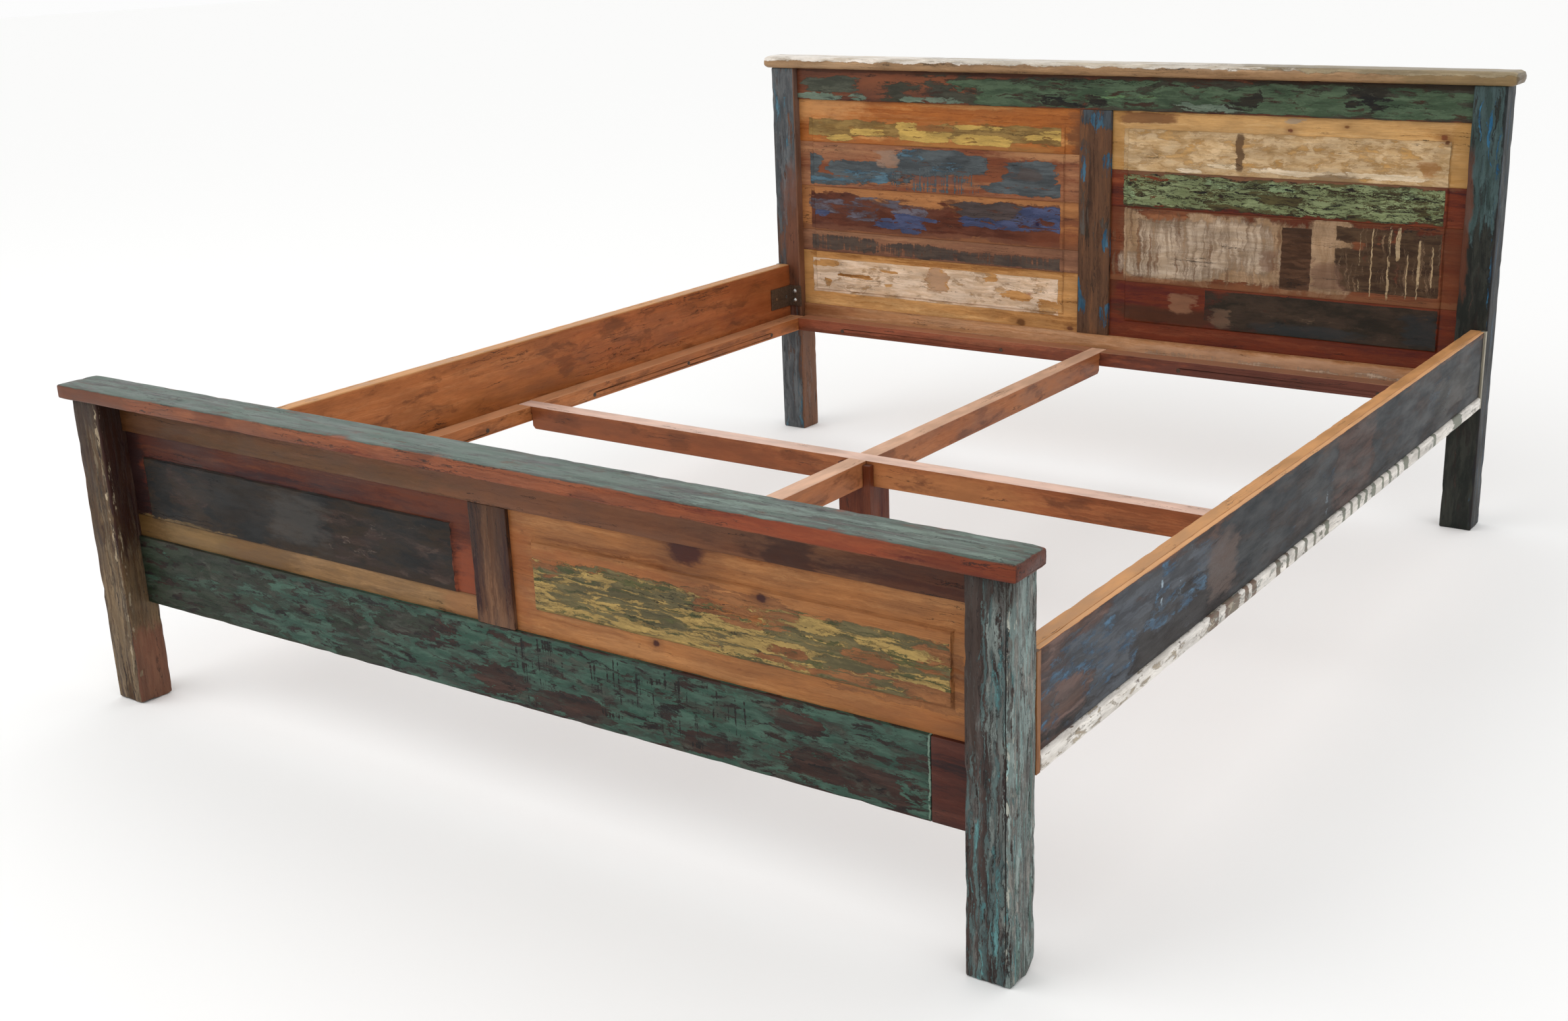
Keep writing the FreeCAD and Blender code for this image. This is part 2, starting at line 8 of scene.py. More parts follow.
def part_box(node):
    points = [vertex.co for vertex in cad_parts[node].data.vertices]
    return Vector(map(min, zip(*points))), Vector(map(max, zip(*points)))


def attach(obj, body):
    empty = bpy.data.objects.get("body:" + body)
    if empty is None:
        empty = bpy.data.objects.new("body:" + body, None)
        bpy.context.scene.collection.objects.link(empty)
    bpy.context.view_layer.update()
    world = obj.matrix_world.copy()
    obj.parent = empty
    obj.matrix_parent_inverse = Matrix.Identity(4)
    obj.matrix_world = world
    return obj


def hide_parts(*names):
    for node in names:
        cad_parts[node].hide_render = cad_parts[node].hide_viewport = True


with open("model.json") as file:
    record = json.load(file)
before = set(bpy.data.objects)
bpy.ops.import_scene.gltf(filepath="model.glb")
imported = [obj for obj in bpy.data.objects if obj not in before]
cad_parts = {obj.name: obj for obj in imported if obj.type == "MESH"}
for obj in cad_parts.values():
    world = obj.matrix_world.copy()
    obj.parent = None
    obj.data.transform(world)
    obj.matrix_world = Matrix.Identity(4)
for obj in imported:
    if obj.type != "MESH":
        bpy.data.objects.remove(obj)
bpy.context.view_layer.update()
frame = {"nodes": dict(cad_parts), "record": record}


# ---------------------------------------------------------------- colours
SHINE = 0.018     # how much white the sheen adds to every surface
LIGHT = 0.86      # how much of its own colour a surface shows in this light
DARKEST = 0.003


def srgb(red, green, blue):
    """A linear colour from the 0 to 255 values that a colour picker shows."""
    linear = []
    for channel in (red, green, blue):
        share = channel / 255
        linear.append(share / 12.92 if share <= 0.04045 else ((share + 0.055) / 1.055) ** 2.4)
    return (*linear, 1.0)


def seen(colour):
    """The surface colour that looks like this in the studio."""
    return tuple(max((part - SHINE) / LIGHT, DARKEST) for part in srgb(*colour)[:3]) + (1.0,)


# ---------------------------------------------------------------- camera, floor and light
def look(position, yaw, pitch, roll, lens, shift):
    """A camera that looks along +Y, turned left by yaw, up by pitch and rolled."""
    ahead = Vector((-math.sin(yaw) * math.cos(pitch), math.cos(yaw) * math.cos(pitch), math.sin(pitch)))
    level = Vector((math.cos(yaw), math.sin(yaw), 0))
    above = level.cross(ahead)
    right = math.cos(roll) * level + math.sin(roll) * above
    up = math.cos(roll) * above - math.sin(roll) * level
    turned = Matrix((right, up, -ahead)).transposed().to_4x4()
    data = bpy.data.cameras.new("camera")
    data.lens = lens
    data.shift_x, data.shift_y = shift
    camera = bpy.data.objects.new("camera", data)
    camera.matrix_world = Matrix.Translation(position) @ turned
    bpy.context.collection.objects.link(camera)
    bpy.context.scene.camera = camera


def make_floor(reach, colour, roughness):
    """A plain square floor at the frame's lowest level."""
    paint = bpy.data.materials.new("floor_paint")
    paint.use_nodes = True
    shader = paint.node_tree.nodes["Principled BSDF"]
    shader.inputs["Base Color"].default_value = colour
    shader.inputs["Roughness"].default_value = roughness
    mesh = bpy.data.meshes.new("floor")
    mesh.from_pydata([(-reach, -reach, 0), (reach, -reach, 0), (reach, reach, 0), (-reach, reach, 0)],
                     [], [(0, 1, 2, 3)])
    mesh.materials.append(paint)
    floor = bpy.data.objects.new("floor", mesh)
    bpy.context.collection.objects.link(floor)


def softbox(name, position, target, size, power):
    data = bpy.data.lights.new(name, "AREA")
    data.shape = "RECTANGLE"
    data.size, data.size_y = size
    data.energy = power
    light = bpy.data.objects.new(name, data)
    light.location = position
    light.rotation_euler = (Vector(target) - Vector(position)).to_track_quat("-Z", "Y").to_euler()
    bpy.context.collection.objects.link(light)


def white_room(strength):
    """Even light from all round, so that the pale floor has no horizon."""
    world = bpy.data.worlds.new("studio")
    world.use_nodes = True
    world.node_tree.nodes["Background"].inputs["Color"].default_value = (1.0, 1.0, 1.0, 1.0)
    world.node_tree.nodes["Background"].inputs["Strength"].default_value = strength
    bpy.context.scene.world = world
    bpy.context.scene.view_settings.view_transform = "Standard"


look(position=(1.924, -2.918, 1.341), yaw=0.5954, pitch=-0.3200, roll=-0.0281, lens=41.65,
     shift=(-0.0361, 0.0052))
make_floor(reach=30, colour=srgb(253, 253, 252), roughness=0.9)
softbox("key", position=(-2.5, -3.5, 4.0), target=(0, 0, 0.4), size=(4.0, 3.0), power=58)
white_room(0.98)


# ---------------------------------------------------------------- shader kit
class Shade:
    """One material, with short names for the shader nodes that it is made of."""

    def __init__(self, name):
        self.material = bpy.data.materials.new(name)
        self.material.use_nodes = True
        self.tree = self.material.node_tree
        self.tree.nodes.clear()

    def put(self, socket, value):
        if isinstance(value, bpy.types.NodeSocket):
            self.tree.links.new(value, socket)
        else:
            socket.default_value = value

    def node(self, kind, inputs, **settings):
        made = self.tree.nodes.new(kind)
        for key, value in settings.items():
            setattr(made, key, value)
        for key, value in inputs.items():
            self.put(made.inputs[key], value)
        return made

    def make(self, kind, inputs, output=0, **settings):
        return self.node(kind, inputs, **settings).outputs[output]

    def maths(self, operation, *values):
        return self.make("ShaderNodeMath", dict(enumerate(values)), operation=operation)

    def add(self, first, second):
        return self.maths("ADD", first, second)

    def times(self, first, second):
        return self.maths("MULTIPLY", first, second)

    def vector(self, operation, *values, output=0):
        return self.make("ShaderNodeVectorMath", dict(enumerate(values)), output, operation=operation)

    def split(self, vector):
        return self.node("ShaderNodeSeparateXYZ", {0: vector}).outputs

    def ease(self, value, low, high, start=0.0, end=1.0):
        """Start at low, end at high and a smooth slope between them."""
        inputs = {"Value": value, "From Min": low, "From Max": high, "To Min": start, "To Max": end}
        return self.make("ShaderNodeMapRange", inputs, interpolation_type="SMOOTHSTEP")

    def mix(self, share, first, second, kind="MIX"):
        inputs = {0: share, 6: first, 7: second}
        return self.make("ShaderNodeMix", inputs, 2, data_type="RGBA", blend_type=kind)

    def scale(self, colour, share):
        """A colour made darker or lighter by a share that varies over the surface."""
        grey = self.make("ShaderNodeCombineColor", {0: share, 1: share, 2: share})
        return self.mix(1.0, colour, grey, "MULTIPLY")

    def grain(self, at, stretch, seed=0.0, detail=6.0, rough=0.6, twist=0.0, output=0):
        """Noise stretched along the grain: stretch is how often it changes per metre, along and across."""
        along, across = stretch
        offset = (seed * 7.31, seed * 3.17, seed * 5.93)
        placed = self.vector("MULTIPLY_ADD", at, (along, across, across), offset)
        inputs = {"Vector": placed, "Scale": 1.0, "Detail": detail, "Roughness": rough, "Distortion": twist}
        return self.make("ShaderNodeTexNoise", inputs, output)

    def close(self, inputs):
        """Make one surface of these inputs and hand over the material."""
        surface = self.make("ShaderNodeBsdfPrincipled", inputs)
        self.node("ShaderNodeOutputMaterial", {"Surface": surface})
        return self.material


ORDERS = {"x": (0, 2, 1), "y": (1, 2, 0), "z": (2, 0, 1)}


class Board:
    """The local axes of a piece: u along the grain, v across its wide face, w through it."""

    def __init__(self, node, axis):
        self.node = node
        self.order = ORDERS[axis]
        low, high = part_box(node)
        self.low = [low[index] for index in self.order]
        self.size = [high[index] - low[index] for index in self.order]
        self.corner = tuple(low)

    def world(self, uvw):
        place = [0.0, 0.0, 0.0]
        for number, index in enumerate(self.order):
            place[index] = self.low[number] + uvw[number]
        return place


def seed_of(name):
    """A number of its own for each name, which sets its noise apart."""
    return (sum((index + 3) * ord(letter) for index, letter in enumerate(name)) % 997) / 10


# A layer's places are rectangles (s0, s1, t0, t1) in shares of the board, along and across it. Two more
# numbers limit them through its thickness, where 0 is its -Y side, or -X on a board that runs along Y.
WHOLE = [(0, 1, 0, 1)]


def stain(tone, places, strength=0.8, soft=0.9, wander=1.0):
    """A tint in the wood or over old paint; some stains are painted highlights along top edges and painted
    shade at joints.
    """
    return dict(kind="stain", tone=tone, places=places, strength=strength, soft=soft, wander=wander)


def knot(s, t, radius, tone=(58, 34, 24)):
    return dict(kind="knot", s=s, t=t, radius=radius, tone=tone)


def coat(tones, places=WHOLE, cover=0.66, stretch=(16, 70), bare=(), fray=0.3, soft=0.03, relief=0.35,
         mottle=(12, 60), comb=0.0, crackle=0.0, edge=0.12, wander=1.0, clip=None):
    """A layer of old paint: two tones, where it lies, where it has gone and how it breaks up. Some coats also
    hold painted highlights and painted shade.
    """
    return dict(kind="coat", tones=tones, places=places, cover=cover, stretch=stretch, bare=bare, fray=fray,
                soft=soft, relief=relief, mottle=mottle, comb=comb, crackle=crackle, edge=edge, wander=wander,
                clip=clip)


FILM = dict(soft=0.08, relief=0.0, edge=0.0)    # a coat so thin that it only tints what lies under it


def spread(low, high):
    """A range that reaches an end of the board carries on as far again beyond it."""
    width = high - low
    return (low - width if low <= 0 else low), (high + width if high >= 1 else high)


# painted shade round the outline of each coat of paint
PAINT_EDGE_SHADE = (46, 34, 28)
SPLIT = (38, 28, 24)
# the colour of the dirt and painted shade along a board's edges
EDGE_DIRT_AND_SHADE = (56, 42, 34)
NOISE_MIDDLE = (0.5, 0.5, 0.5)


class Finish(Shade):
    """The surface of one board: bare wood, then stains and coats of worn paint with painted shade round their
    outlines, splits, and dirt with painted shade along the edges.
    """

    def __init__(self, node, axis, front=(0, 1)):
        super().__init__(node)
        self.board = Board(node, axis)
        self.front = front
        self.seed = seed_of(node)
        place = self.make("ShaderNodeTexCoord", {}, "Object")
        parts = self.split(self.vector("SUBTRACT", place, self.board.corner))
        self.parts = [parts[index] for index in self.board.order]
        self.at = self.make("ShaderNodeCombineXYZ", dict(enumerate(self.parts)))
        drift = self.grain(self.at, (15, 42), self.seed + 1, detail=6, rough=0.68, output=1)
        self.drift = self.vector("SUBTRACT", drift, NOISE_MIDDLE)
        self.bent = self.vector("MULTIPLY_ADD", self.drift, (0.0, 0.02, 0.02), self.at)
        self.near_edge = self.edge_distance()

    def edge_distance(self):
        """How far a surface point is from the nearest long edge of its board."""
        across = []
        for number in (1, 2):
            other = self.maths("SUBTRACT", self.board.size[number], self.parts[number])
            across.append(self.maths("MINIMUM", self.parts[number], other))
        return self.maths("MAXIMUM", *across)

    def warped(self, wander):
        """The board's coordinates, pushed about so that straight outlines become ragged."""
        return self.vector("MULTIPLY_ADD", self.drift, (0.11 * wander, 0.026 * wander, 0.0), self.at)

    def away(self, at, places):
        """0 in the middle of the nearest of several rectangles, 1 on its outline and more beyond it."""
        nearest = None
        for place in places:
            shares = tuple(place) if len(place) == 6 else tuple(place) + self.front
            scale, shift = [], []
            for number, size in enumerate(self.board.size):
                low, high = (share * size for share in spread(*shares[2 * number:2 * number + 2]))
                scale.append(2 / (high - low))
                shift.append(-(high + low) / (high - low))
            offset = self.vector("MULTIPLY_ADD", at, tuple(scale), tuple(shift))
            far = self.vector("LENGTH", self.vector("MULTIPLY", offset, offset), output=1)
            nearest = far if nearest is None else self.maths("MINIMUM", nearest, far)
        return nearest

    def within(self, rectangle, blur=0.0008):
        """1 inside a rectangle on the front of the board, with an edge that wavers by a millimetre or two."""
        at = self.vector("MULTIPLY_ADD", self.drift, (0.012, 0.006, 0.0), self.at)
        limits = (rectangle[:2], rectangle[2:], (2 * self.front[0] - self.front[1], self.front[1]))
        centre = [(low + high) / 2 * size for (low, high), size in zip(limits, self.board.size)]
        half = [(high - low) / 2 * size for (low, high), size in zip(limits, self.board.size)]
        away = self.vector("ABSOLUTE", self.vector("SUBTRACT", at, tuple(centre)))
        parts = self.split(self.vector("SUBTRACT", away, tuple(half)))
        outside = self.maths("MAXIMUM", parts[0], parts[1])
        if self.front != (0, 1):
            outside = self.maths("MAXIMUM", outside, parts[2])
        return self.ease(outside, blur, -blur)

    def ridge(self, field):
        """0 where a noise field crosses its middle value, and more to both sides of that line."""
        return self.maths("ABSOLUTE", self.add(field, -0.5))

    def raise_by(self, mask, height):
        self.height = self.add(self.height, self.times(mask, height))

    def lay_wood(self, tones, grain, fibre):
        rings = self.grain(self.bent, grain, self.seed + 2, detail=4, rough=0.55, twist=0.3)
        self.lines = self.grain(self.bent, (6, 240), self.seed + 3, detail=3, rough=0.6)
        hairs = self.grain(self.at, (30, 900), self.seed + 4, detail=3, rough=0.7)
        dark, middle, light = [seen(tone) for tone in tones]
        tone = self.add(self.times(rings, 0.72), self.times(self.lines, 0.28))
        colour = self.mix(self.ease(tone, 0.36, 0.51), dark, middle)
        colour = self.mix(self.ease(tone, 0.5, 0.66), colour, light)
        self.colour = self.scale(colour, self.ease(hairs, 0.36, 0.55, 0.84, 1.04))
        self.height = self.times(self.lines, 0.22 * fibre)
        self.raise_by(hairs, 0.14 * fibre)

    def lay_stain(self, layer, base):
        far = self.away(self.warped(layer["wander"]), layer["places"])
        blot = self.grain(self.at, (22, 90), base, detail=6, rough=0.68)
        far = self.maths("MULTIPLY_ADD", self.add(blot, -0.5), 2.4 * layer["soft"], far)
        share = self.ease(far, 1 + 0.6 * layer["soft"], 1 - 0.6 * layer["soft"], 0.0, layer["strength"])
        self.colour = self.mix(share, self.colour, seen(layer["tone"]))

    def lay_knot(self, layer, base):
        centre = (layer["s"] * self.board.size[0], layer["t"] * self.board.size[1], 0.0)
        offset = self.vector("SUBTRACT", self.bent, centre)
        scaled = self.vector("MULTIPLY", offset, (0.7 / layer["radius"], 1 / layer["radius"], 0.0))
        inner = self.vector("LENGTH", scaled, output=1)
        rough = self.grain(self.at, (60, 120), base, detail=5)
        inner = self.add(inner, self.times(self.add(rough, -0.5), 0.9))
        halo = self.ease(inner, 3.2, 0.6, 0.0, 0.5)
        self.colour = self.mix(halo, self.colour, self.mix(0.35, seen(layer["tone"]), self.colour))
        core = self.ease(inner, 1.15, 0.55, 0.0, 0.9)
        self.colour = self.mix(core, self.colour, seen(layer["tone"]))
        self.raise_by(core, -0.3)

    def coat_mask(self, layer, at, base):
        """Where a coat of paint still holds: 1 on the paint, 0 where the board shows."""
        field = self.grain(at, layer["stretch"], base, detail=7, rough=0.68, twist=0.2)
        total = self.add(field, layer["cover"] - 0.5)
        if layer["places"] is not WHOLE:
            inside = self.maths("MULTIPLY_ADD", self.away(at, layer["places"]), -layer["fray"],
                                1.3 * layer["fray"])
            total = self.add(field, self.maths("MINIMUM", inside, layer["cover"] - 0.5))
        if layer["bare"]:
            bite = self.grain(self.at, (26, 90), base + 4, detail=8, rough=0.75)
            bite = self.add(bite, self.times(field, 0.8))
            far = self.maths("MULTIPLY_ADD", self.add(bite, -0.9), 3.6, self.away(at, layer["bare"]))
            total = self.add(total, self.ease(far, 1.1, 0.9, 0.0, -0.5))
        if layer["comb"]:
            teeth = self.grain(self.at, (190, 9), base + 1, detail=3, rough=0.55)
            total = self.maths("MULTIPLY_ADD", self.add(teeth, -0.5), layer["comb"], total)
        total = self.add(total, self.ease(self.near_edge, 0.0, 0.006, -layer["edge"], 0.0))
        mask = self.ease(total, 0.5 - layer["soft"], 0.5 + layer["soft"])
        if layer["crackle"]:
            cells = self.grain(at, (34, 150), base + 1, detail=4, rough=0.62, twist=0.4)
            open_up = self.grain(self.at, (12, 50), base + 3, detail=3)
            width = self.ease(open_up, 0.36, 0.66, 0.0, layer["crackle"])
            whole = self.ease(self.maths("SUBTRACT", self.ridge(cells), width), -0.006, 0.008)
            mask = self.times(mask, whole)
        if layer["clip"]:
            mask = self.times(mask, self.within(layer["clip"]))
        return mask

    def lay_coat(self, layer, base):
        at = self.warped(layer["wander"])
        mask = self.coat_mask(layer, at, base)
        mottle = self.grain(at, layer["mottle"], base + 2, detail=5, rough=0.68)
        first, second = [seen(tone) for tone in layer["tones"]]
        paint = self.mix(self.ease(mottle, 0.38, 0.62), first, second)
        paint = self.scale(paint, self.ease(self.lines, 0.36, 0.62, 0.9, 1.06))
        # painted shade: a thin dark line round the outline of each coat, where the paint's edge would throw a
        # shadow
        rim = self.times(self.times(mask, self.maths("SUBTRACT", 1.0, mask)), 1.1)
        self.colour = self.mix(mask, self.colour, paint)
        self.colour = self.mix(rim, self.colour, seen(PAINT_EDGE_SHADE))
        self.raise_by(mask, layer["relief"])

    def lay_splits(self, amount):
        """Fine splits along the grain, filled with dirt."""
        split = self.grain(self.bent, (1.6, 95), self.seed + 6, detail=2, rough=0.4)
        line = self.ease(self.ridge(split), 0.011, 0.003)
        where = self.grain(self.at, (6, 16), self.seed + 7, detail=3)
        line = self.times(line, self.ease(where, 0.64 - 0.2 * amount, 0.72 - 0.2 * amount))
        self.colour = self.mix(self.times(line, 0.75), self.colour, seen(SPLIT))
        self.raise_by(line, -0.5)

    def lay_dirt_and_shade(self, strength):
        """Dirt and painted shade along the edges, dark end grain and small pits."""
        self.smudge = self.grain(self.at, (9, 30), self.seed + 9, detail=5, rough=0.6)
        # dirt and painted shade: a darker band within 5 mm of each long edge, where boards meet
        edge_dirt_and_shade = self.times(self.ease(self.near_edge, 0.005, 0.0), self.ease(self.smudge, 0.42, 0.6))
        self.colour = self.mix(self.times(edge_dirt_and_shade, strength), self.colour, seen(EDGE_DIRT_AND_SHADE))
        self.colour = self.scale(self.colour, self.ease(self.smudge, 0.34, 0.66, 0.84, 1.1))
        along = [0.0, 0.0, 0.0]
        along[self.board.order[0]] = 1.0
        normal = self.make("ShaderNodeNewGeometry", {}, "Normal")
        end = self.maths("ABSOLUTE", self.vector("DOT_PRODUCT", normal, tuple(along), output=1))
        self.colour = self.scale(self.colour, self.ease(end, 0.6, 0.95, 1.0, 0.6))
        self.raise_by(self.grain(self.at, (160, 260), self.seed + 8, detail=3, rough=0.6), 0.12)

    def done(self, gloss):
        roughness = self.ease(self.smudge, 0.3, 0.7, gloss - 0.08, gloss + 0.14)
        bump = self.make("ShaderNodeBump", {"Strength": 0.8, "Distance": 0.001, "Height": self.height})
        return self.close({"Base Color": self.colour, "Roughness": roughness, "Normal": bump,
                           "Specular IOR Level": 0.25})


WEATHERED = dict(splits=0.9, grain=(1.8, 60), fibre=2.0)
PLANED = dict(gloss=0.42, grain=(1.2, 22), dirt=0.1)


def finish(node, axis, wood, layers=(), splits=0.5, gloss=0.5, fibre=1.0, grain=(1.6, 34), front=(0, 1),
           dirt=0.35):
    """The material of one board. Wood is its dark, middle and light tone, and layers lie on it in order. Dirt
    sets how strongly dirt and painted shade darken its edges.
    """
    skin = Finish(node, axis, front)
    skin.lay_wood(wood, grain, fibre)
    steps = {"stain": skin.lay_stain, "knot": skin.lay_knot, "coat": skin.lay_coat}
    for number, layer in enumerate(layers):
        steps[layer["kind"]](layer, skin.seed + 20 + 5 * number)
    skin.lay_splits(splits)
    skin.lay_dirt_and_shade(dirt)
    return skin.done(gloss)


# ---------------------------------------------------------------- mesh kit
def body_of(node):
    for body, members in frame["record"]["behaviour"]["bodies"].items():
        if node in members:
            return body
    raise KeyError(node)


def replace_node(node, points, faces, material):
    """Put a mesh in place of a CAD node, on the same body."""
    mesh = bpy.data.meshes.new(node)
    mesh.from_pydata(points, [], faces)
    mesh.materials.append(material)
    cleaned = bmesh.new()
    cleaned.from_mesh(mesh)
    bmesh.ops.recalc_face_normals(cleaned, faces=cleaned.faces)
    cleaned.to_mesh(mesh)
    cleaned.free()
    mesh.shade_smooth()
    mesh.set_sharp_from_angle(angle=math.radians(35))
    piece = bpy.data.objects.new(node + "_worn", mesh)
    bpy.context.collection.objects.link(piece)
    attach(piece, body_of(node))
    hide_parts(node)


def rumple(place, along, across, shift):
    """Smooth noise that changes this often per metre, along the grain and across it."""
    u, v, w = place
    return noise.noise(Vector((u * along, v * across, w * across)) + shift)


def rounded_ring(half_v, half_w, radius, count_v, count_w, arc=4):
    """Points, outward directions and distances from the nearest corner round a rounded rectangle."""
    a, b = half_v - radius, half_w - radius
    sides = (((a, b), 0, count_v, (-1, 0), a), ((-a, b), 90, count_w, (0, -1), b),
             ((-a, -b), 180, count_v, (1, 0), a), ((a, -b), 270, count_w, (0, 1), b))
    ring = []
    for (v, w), start, count, step, half in sides:
        for index in range(arc + 1):
            angle = math.radians(start + 90 * index / arc)
            normal = (math.cos(angle), math.sin(angle))
            last = (v + radius * normal[0], w + radius * normal[1])
            ring.append((last, normal, 0.0))
        for index in range(1, count):
            along = 2 * half * index / count
            place = (last[0] + step[0] * along, last[1] + step[1] * along)
            ring.append((place, normal, min(along, 2 * half - along)))
    return ring


def bar_stations(length, radius, step):
    """Places along a bar, each with how far the section is inset there to round over the ends."""
    ends = [(0.0, radius), (0.3 * radius, 0.3 * radius), (radius, 0.0)]
    count = max(2, round((length - 2 * radius) / step))
    middle = [(radius + (length - 2 * radius) * index / count, 0.0) for index in range(1, count)]
    return ends + middle + [(length - u, inset) for u, inset in reversed(ends)]


def wear_depth(place, from_corner, from_end, shift, seed, rough, chips, gouge, grooves):
    """How far wear has sunk a point of the surface: dents, chipped edges, hollows and grooves."""
    u, v, w = place
    sink = rough * abs(rumple(place, 45, 45, shift))
    chip = rumple(place, 28, 40, shift) + 0.5 * rumple(place, 90, 90, shift)
    sink += chips * math.exp(-from_corner / 0.004) * max(0.0, chip - 0.05)
    sink += gouge * max(0.0, rumple(place, 9, 60, 2 * shift) - 0.25)
    sink += grooves * max(0.0, 1 - abs(rumple(place, 1.6, 150, 3 * shift)) / 0.12)
    if from_end < 0.012:
        sink += 0.6 * chips * max(0.0, noise.noise(Vector((3 * seed, v * 70, w * 70))))
    return sink


def tube_faces(rings, around):
    """The faces of a closed tube of rings, capped at both ends."""
    faces = []
    for start in range(0, (rings - 1) * around, around):
        for index in range(around):
            following = (index + 1) % around
            faces.append((start + index, start + following, start + around + following,
                          start + around + index))
    top = (rings - 1) * around
    faces.append(tuple(range(around)))
    faces.append(tuple(range(top + around - 1, top - 1, -1)))
    return faces


def worn_board(node, axis, wood, layers=(), look=None, radius=0.0015, span=None, rough=0.0003, chips=0.0015,
               gouge=0.0, grooves=0.0, broken=0.0, step=0.016, gap=0.009):
    """Replace a CAD node by a worn plank: a rounded bar swept along its grain and sunk by wear.

    The span is the part of the board that is made, between two places on its long axis. Broken is how
    deep the low end is bitten off.
    """
    material = finish(node, axis, wood, layers, **(look or {}))
    board = Board(node, axis)
    seed = seed_of(node)
    shift = Vector((seed, 2.3 * seed, 4.1 * seed))
    length, height, depth = board.size
    first = span[0] - board.low[0] if span else 0.0
    if span:
        length = span[1] - span[0]
    count_v = max(1, round((height - 2 * radius) / gap))
    count_w = max(1, round((depth - 2 * radius) / gap))
    stations = bar_stations(length, radius, step)
    points = []
    for u, inset in stations:
        corner = max(radius - inset, 0.0002)
        ring = rounded_ring(height / 2 - inset, depth / 2 - inset, corner, count_v, count_w)
        for (v, w), (toward_v, toward_w), away in ring:
            sink = wear_depth((u, v, w), away, min(u, length - u), shift, seed, rough, chips, gouge, grooves)
            bite = max(0.0, noise.noise(Vector((v * 42, w * 42, seed))) + 0.1) * max(0.0, 1 - u / 0.03)
            points.append(board.world((first + u + broken * bite, v - sink * toward_v + height / 2,
                                       w - sink * toward_w + depth / 2)))
    replace_node(node, points, tube_faces(len(stations), len(ring)), material)


def cut_lines(low, high, step, special):
    """Grid lines from low to high, close to a step apart and exactly at the special places."""
    marks = sorted({round(value, 6) for value in [low, high] + special if low <= value <= high})
    lines = [marks[0]]
    for start, end in zip(marks, marks[1:]):
        count = max(1, round((end - start) / step))
        lines += [start + (end - start) * index / count for index in range(1, count + 1)]
    return lines


def sheet_faces(rows, columns):
    """The faces of a front and a back grid of points, joined round their rim."""
    back = rows * columns
    faces = []
    for row in range(rows - 1):
        for column in range(columns - 1):
            corner = row * columns + column
            quad = (corner, corner + 1, corner + columns + 1, corner + columns)
            faces.append(quad)
            faces.append(tuple(back + index for index in reversed(quad)))
    rim = list(range(columns))
    rim += [row * columns + columns - 1 for row in range(1, rows)]
    rim += [(rows - 1) * columns + column for column in range(columns - 2, -1, -1)]
    rim += [row * columns for row in range(rows - 2, 0, -1)]
    for first, second in zip(rim, rim[1:] + rim[:1]):
        faces.append((first, second, back + second, back + first))
    return faces


FIELD_RAISE = 0.004     # how far a raised field stands forward of its border
FIELD_BEVEL = 0.004     # how wide its bevel is
SEAM = 0.0014           # the eased edge where two planks meet
TONGUE = 0.008          # what lies hidden in a groove
BORDER_DEPTH = 0.008    # how thick a plank with a raised field is at its border
FRONT = (0, 0.7)        # the share of a plank's thickness that is painted


def plank(node, wood, layers, border, open_low, open_high, field=True):
    """A panel plank, whose raised field is bevelled at both ends and on the sides that sit in a groove."""
    material = finish(node, "x", wood, layers, front=FRONT)
    board = Board(node, "x")
    length, height, depth = board.size
    seed = seed_of(node)
    left, right = TONGUE + border, length - TONGUE - border
    field_low = [TONGUE + border] if open_low else []
    field_high = [height - TONGUE - border] if open_high else []

    def lift(u, v):
        """How far the face stands forward of the border."""
        rise = 0.0
        if field:
            inner = [u - left, right - u] + [v - low for low in field_low] + [high - v for high in field_high]
            wander = 0.0012 * noise.noise(Vector((u * 25, v * 25, seed)))
            share = max(0.0, min(1.0, (min(inner) + wander) / FIELD_BEVEL))
            rise = FIELD_RAISE * share * share * (3 - 2 * share)
        seam = min(1.0 if open_low else v, 1.0 if open_high else height - v)
        rise -= max(0.0, SEAM - seam) * 0.9
        return rise - 0.0005 * abs(noise.noise(Vector((u * 14, v * 70, seed + 4))))

    def bevel(starts, ends):
        """The lines where bevels begin, pass their middle and end."""
        inward = (0, FIELD_BEVEL / 2, FIELD_BEVEL)
        return [low + share for low in starts for share in inward] + [
            high - share for high in ends for share in inward]

    us = cut_lines(0, length, 0.014, bevel([left], [right]))
    vs = cut_lines(0, height, 0.008, [SEAM, height - SEAM] + bevel(field_low, field_high))
    front = depth - BORDER_DEPTH if field else 0.0
    points = [board.world((u, v, front - lift(u, v))) for u in us for v in vs]
    for u in us:
        for v in vs:
            hollow = 0.0004 * abs(noise.noise(Vector((u * 9, v * 60, seed + 9))))
            points.append(board.world((u, v, depth - hollow)))
    replace_node(node, points, sheet_faces(len(us), len(vs)), material)


def paint_node(node, material):
    """Keep a CAD node's shape and give it one material."""
    materials = frame["nodes"][node].data.materials
    materials.clear()
    materials.append(material)


def soften_node(node, width):
    """Ease the edges of a CAD node."""
    thing = frame["nodes"][node]
    weld = thing.modifiers.new("weld", "WELD")
    weld.merge_threshold = 0.00001
    bevel = thing.modifiers.new("bevel", "BEVEL")
    bevel.width = width
    bevel.segments = 3
    bevel.limit_method = "ANGLE"
    bevel.angle_limit = math.radians(40)
    bevel.harden_normals = False


def sawn_board(node, axis, wood, layers=(), look=None, width=0.0015):
    """A machined board: the CAD shape with eased edges and a finish of its own."""
    paint_node(node, finish(node, axis, wood, layers, **(look or {})))
    soften_node(node, width)


